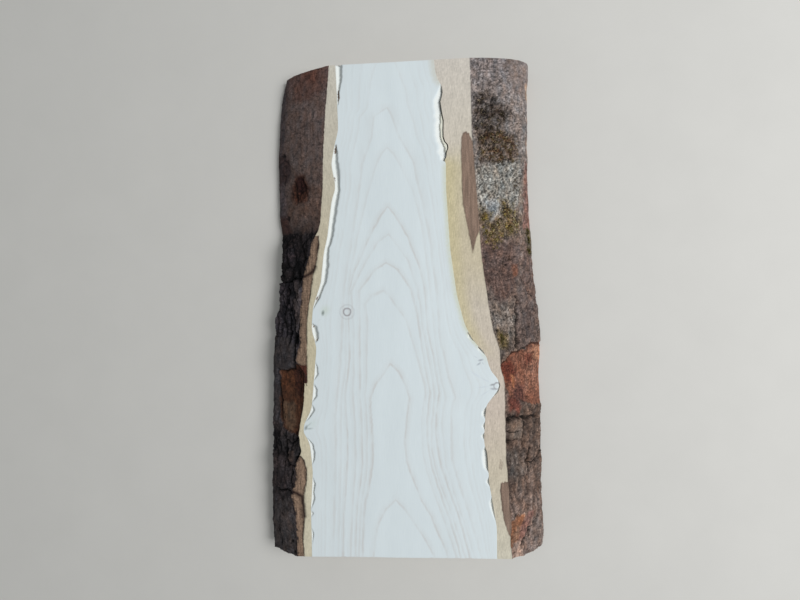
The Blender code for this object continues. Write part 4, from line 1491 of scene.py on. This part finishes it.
def build_bark(side):
    """One strip of bark. Gives the flank's map and points back, for the moss."""
    sign, node, places = -1 if side == "left" else 1, "bark_" + side, even(BARK_STEP)
    rim_count, flank_count = COLUMNS[side]
    lines = long_lines(node, sign, places)
    inner = side_sheet(node, sign, lines, places, JOINT_COLUMNS + 1, outer=False)
    x, z, spots, flank_tint = build_flank(side, sign, lines, places, inner)
    rim_x, rim_z, rim_tint, fibrous = build_rim(side, sign, lines["joint"], x[:, 0], places)
    inner_x, inner_z = on_rays(*inner)
    inner_x[:, -1], inner_z[:, -1] = lines["inner_foot"], 0.0
    ring_x = sign * np.concatenate([rim_x, x, inner_x[:, :0:-1]], axis=1)
    ring_z = np.concatenate([rim_z, z, inner_z[:, :0:-1]], axis=1)
    rows, columns = ring_x.shape
    along = np.repeat(places[:, None], columns, 1)
    points = np.stack([ring_x, along, ring_z], -1).reshape(-1, 3)
    outer_count = rim_count + flank_count
    tint = np.tile(JOINT_TAN, (rows, columns, 1))
    tint[:, :rim_count] = rim_tint.reshape(rows, rim_count, 3)
    tint[:, rim_count:outer_count] = flank_tint.reshape(rows, flank_count, 3)
    cream = np.ones((rows, columns))
    cream[:, :rim_count] = fibrous.reshape(rows, rim_count)
    cream[:, rim_count:outer_count] = 0.0
    tint, cream, faces = tint.reshape(-1, 3), cream.ravel(), ring_faces(rows, columns)
    for row in (0, rows - 1):
        outside = row * columns + np.arange(outer_count)
        inside = row * columns + np.r_[0, np.arange(columns - 1, outer_count - 2, -1)]
        before = len(points)
        points, new = fill_end(points, outside, inside, BARK_END_ROWS, END_COUNT)
        end_tint, end_cream = end_paint(points[before:])
        faces += new
        tint, cream = np.concatenate([tint, end_tint]), np.concatenate([cream, end_cream])
    piece = make_piece("bark_strip_" + side, points, faces, {"tint": tint, "fibrous": cream},
                       bark_material(side + " bark"))
    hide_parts(node)
    return spots, (x, z, places)


strips = {side: build_bark(side) for side in ("left", "right")}
print("points on the flanks:", {side: len(spots) for side, (spots, _) in strips.items()})

# %% [markdown]
# Where the moss grows
#
# Dry moss sits on the right strip in cushions that are only a millimetre or two high. They follow
# the patches of the bark's map, so the ground below them is already speckled. Moss could be only a
# colour, but its blades catch the light along the outline.

# %% Where the moss grows
# outline from above, tufts, height, colours of the blades
MOSS = [
    (DARK_MOSS, 1000, 1.2, [(66, 54, 40), (42, 35, 29), (160, 144, 122), (84, 72, 50)]),
    (BROWN_MOSS, 1000, 1.4, [(112, 92, 54), (50, 37, 26), (194, 178, 146), (92, 80, 46)]),
    ([(72, 92), (83, 86), (81, 72), (73, 72)], 240, 1.3,
     [(180, 156, 76), (84, 62, 32), (204, 188, 136)]),
    (GREEN_MOSS, 620, 1.5, [(160, 140, 74), (66, 54, 28), (208, 196, 154), (120, 104, 52)]),
    ([(76, 72), (87, 70), (92, 60), (87, 53), (77, 59)], 320, 1.5,
     [(180, 158, 78), (80, 60, 32), (204, 188, 136)]),
    ([(118, 72), (125, 72), (127, 49), (120, 49)], 260, 1.8, [(112, 102, 56), (62, 54, 36)]),
    (LOW_MOSS, 240, 1.2, [(134, 118, 58), (70, 60, 38), (150, 138, 92)]),
    ([(92, 48), (97, 49), (98, 42), (97, 35), (92, 36), (93, 43)], 60, 1.0,
     [(84, 72, 40), (60, 48, 30)]),
    ([(106, 126), (113, 124), (112, 104), (104, 108)], 130, 1.1, [(96, 78, 54), (60, 48, 38)]),
]
print(sum(tufts for _, tufts, _, _ in MOSS), "tufts of moss in", len(MOSS), "cushions")

# %% [markdown]
# Tufts of moss
#
# Each tuft is a few bent blades that spread from one root. Particles would be quicker to set up,
# but a mesh keeps its shape wherever the model goes. All chance comes from one seeded source, so
# the moss grows the same each time.

# %% Moss tufts
MOSS_SEED = 5
BLADES = 7
BLADE_HALF_WIDTH = 0.12
RIM_FREE, FOOT_FREE = 2, 12                            # columns of the flank without moss


def tuft(draw, root, up, height, shade):
    """One tuft: the four corners of each blade, and their colours, darker at the root as painted
    shade.
    """
    corners, colours = [], []
    for _ in range(BLADES):
        lean = draw.normal(size=3) * 0.75
        way = up + lean - up * (lean @ up)
        way /= np.linalg.norm(way)
        across = np.cross(way, draw.normal(size=3))
        across *= BLADE_HALF_WIDTH / np.linalg.norm(across)
        long = height * draw.uniform(0.45, 1.0)
        base = root + draw.normal(size=3) * 0.35 - up * 0.3
        tip = base + way * long - np.array([0, 0, 0.15 * long])
        middle = base + way * long * 0.55
        corners += [base, middle + across, tip, middle - across]
        # the root is painted darker, as shade among the blades, and the tip paler
        colours += [shade * 0.6 * COOL, shade * COOL, shade * 1.3 * COOL, shade * COOL]
    return corners, colours


def moss_points():
    """Corners of all blades on the right strip, and their colours."""
    draw = np.random.default_rng(MOSS_SEED)
    spots, (sheet_x, sheet_z, places) = strips["right"]
    rows, columns = sheet_x.shape
    plan = spots[:, :2] + np.c_[clouds(spots, 5, 31.0), clouds(spots, 5, 47.0)] * 2.2
    clump, islands = np.exp(1.3 * clouds(spots, 2.2, 77.0)), moss_islands(spots)
    open_bark = step(0.0, 0.25, clouds(spots, 2.4, 12.0)) * (0.22 + 0.78 * islands)
    points, colours = [], []
    for outline, tufts, height, shades in MOSS:
        weight = (patch(plan, outline, 7.0) * open_bark).reshape(rows, columns)
        weight[:, :RIM_FREE] = weight[:, -FOOT_FREE:] = 0
        weight = weight.ravel() / weight.sum()
        for index in draw.choice(len(weight), size=tufts, p=weight):
            row, column = divmod(index, columns)
            root = np.array([sheet_x[row, column], places[row], sheet_z[row, column]])
            near, far_on = max(column - 3, 0), min(column + 3, columns - 1)
            run_x = sheet_x[row, far_on] - sheet_x[row, near]
            run_z = sheet_z[row, far_on] - sheet_z[row, near]
            up = np.array([-run_z, 0.0, run_x]) / math.hypot(run_x, run_z)
            shade = linear(*shades[draw.integers(len(shades))]) * draw.uniform(0.6, 1.3)
            corners, tints = tuft(draw, root, up, height, shade * clump[index])
            points += corners
            colours += tints
    return np.array(points), np.array(colours)


def moss_material():
    """Dry moss in its painted colours, mottled a little."""
    material, tree, shader = new_material("dry moss", 0.95, 0.1)
    place = add(tree, "TexCoord", {}).outputs["Object"]
    mottle = spread_to(tree, grain(tree, place, (1.2, 1.2, 1.2), 2.0), 0.3, 0.7, 0.75, 1.25)
    colour = dimmed(tree, painted(tree, "tint", "Color"), mottle)
    tree.links.new(colour, shader.inputs["Base Color"])
    return material


moss_at, moss_tint = moss_points()
moss_at[:, 2] = np.clip(moss_at[:, 2], 0.1, THICK - 0.05)
moss_faces = np.arange(len(moss_at)).reshape(-1, 4).tolist()
print(len(moss_faces), "blades of moss")
make_piece("moss", moss_at, moss_faces, {"tint": moss_tint}, moss_material())

# %% [markdown]
# Floor and light
#
# A plain pale floor under soft daylight from the right keeps the colours honest. One large lamp
# gives the soft shadow beside the left edge, and the world fills in the rest. A picture of a sky
# could light the block too, but a lamp's direction and colour can be set one at a time.

# %% Floor and lights
FLOOR_COLOUR = linear(206, 198, 186)
LAMP_AT = (1.25, 0.08, 1.35)
LAMP_SIZE = 1.1
LAMP_POWER = 29.4
LAMP_COLOUR = (0.91, 0.985, 1.09)
SKY_COLOUR = (0.875, 0.965, 1.06)
SKY_STRENGTH = 0.4


def floor():
    """A plain pale floor, with a faint unevenness so that it is no single colour."""
    mesh = bpy.data.meshes.new("floor")
    half = 4.0
    mesh.from_pydata([(-half, -half, 0), (half, -half, 0), (half, half, 0), (-half, half, 0)], [],
                     [(0, 1, 2, 3)])
    material, tree, shader = new_material("pale floor", 0.9, 0.1)
    place = add(tree, "TexCoord", {}).outputs["Object"]
    cloud = spread_to(tree, grain(tree, place, (60, 60, 60), 3.0), 0.3, 0.7, 0.985, 1.015)
    tree.links.new(dimmed(tree, (*FLOOR_COLOUR,), cloud), shader.inputs["Base Color"])
    mesh.materials.append(material)
    piece = bpy.data.objects.new("floor", mesh)
    bpy.context.scene.collection.objects.link(piece)


floor()
lamp_data = bpy.data.lights.new("daylight", "AREA")
lamp_data.shape = "DISK"
lamp_data.size = LAMP_SIZE
lamp_data.energy = LAMP_POWER
lamp_data.color = LAMP_COLOUR
lamp = bpy.data.objects.new("daylight", lamp_data)
lamp.location = LAMP_AT
lamp.rotation_euler = (-Vector(LAMP_AT)).to_track_quat("-Z", "Y").to_euler()
bpy.context.scene.collection.objects.link(lamp)
world = bpy.data.worlds.new("sky")
world.use_nodes = True
world.node_tree.nodes["Background"].inputs["Color"].default_value = (*SKY_COLOUR, 1)
world.node_tree.nodes["Background"].inputs["Strength"].default_value = SKY_STRENGTH
bpy.context.scene.world = world
bpy.context.scene.view_settings.view_transform = "Standard"
print("the lamp is", round(lamp.location.length, 2), "m away and", LAMP_SIZE, "m wide")
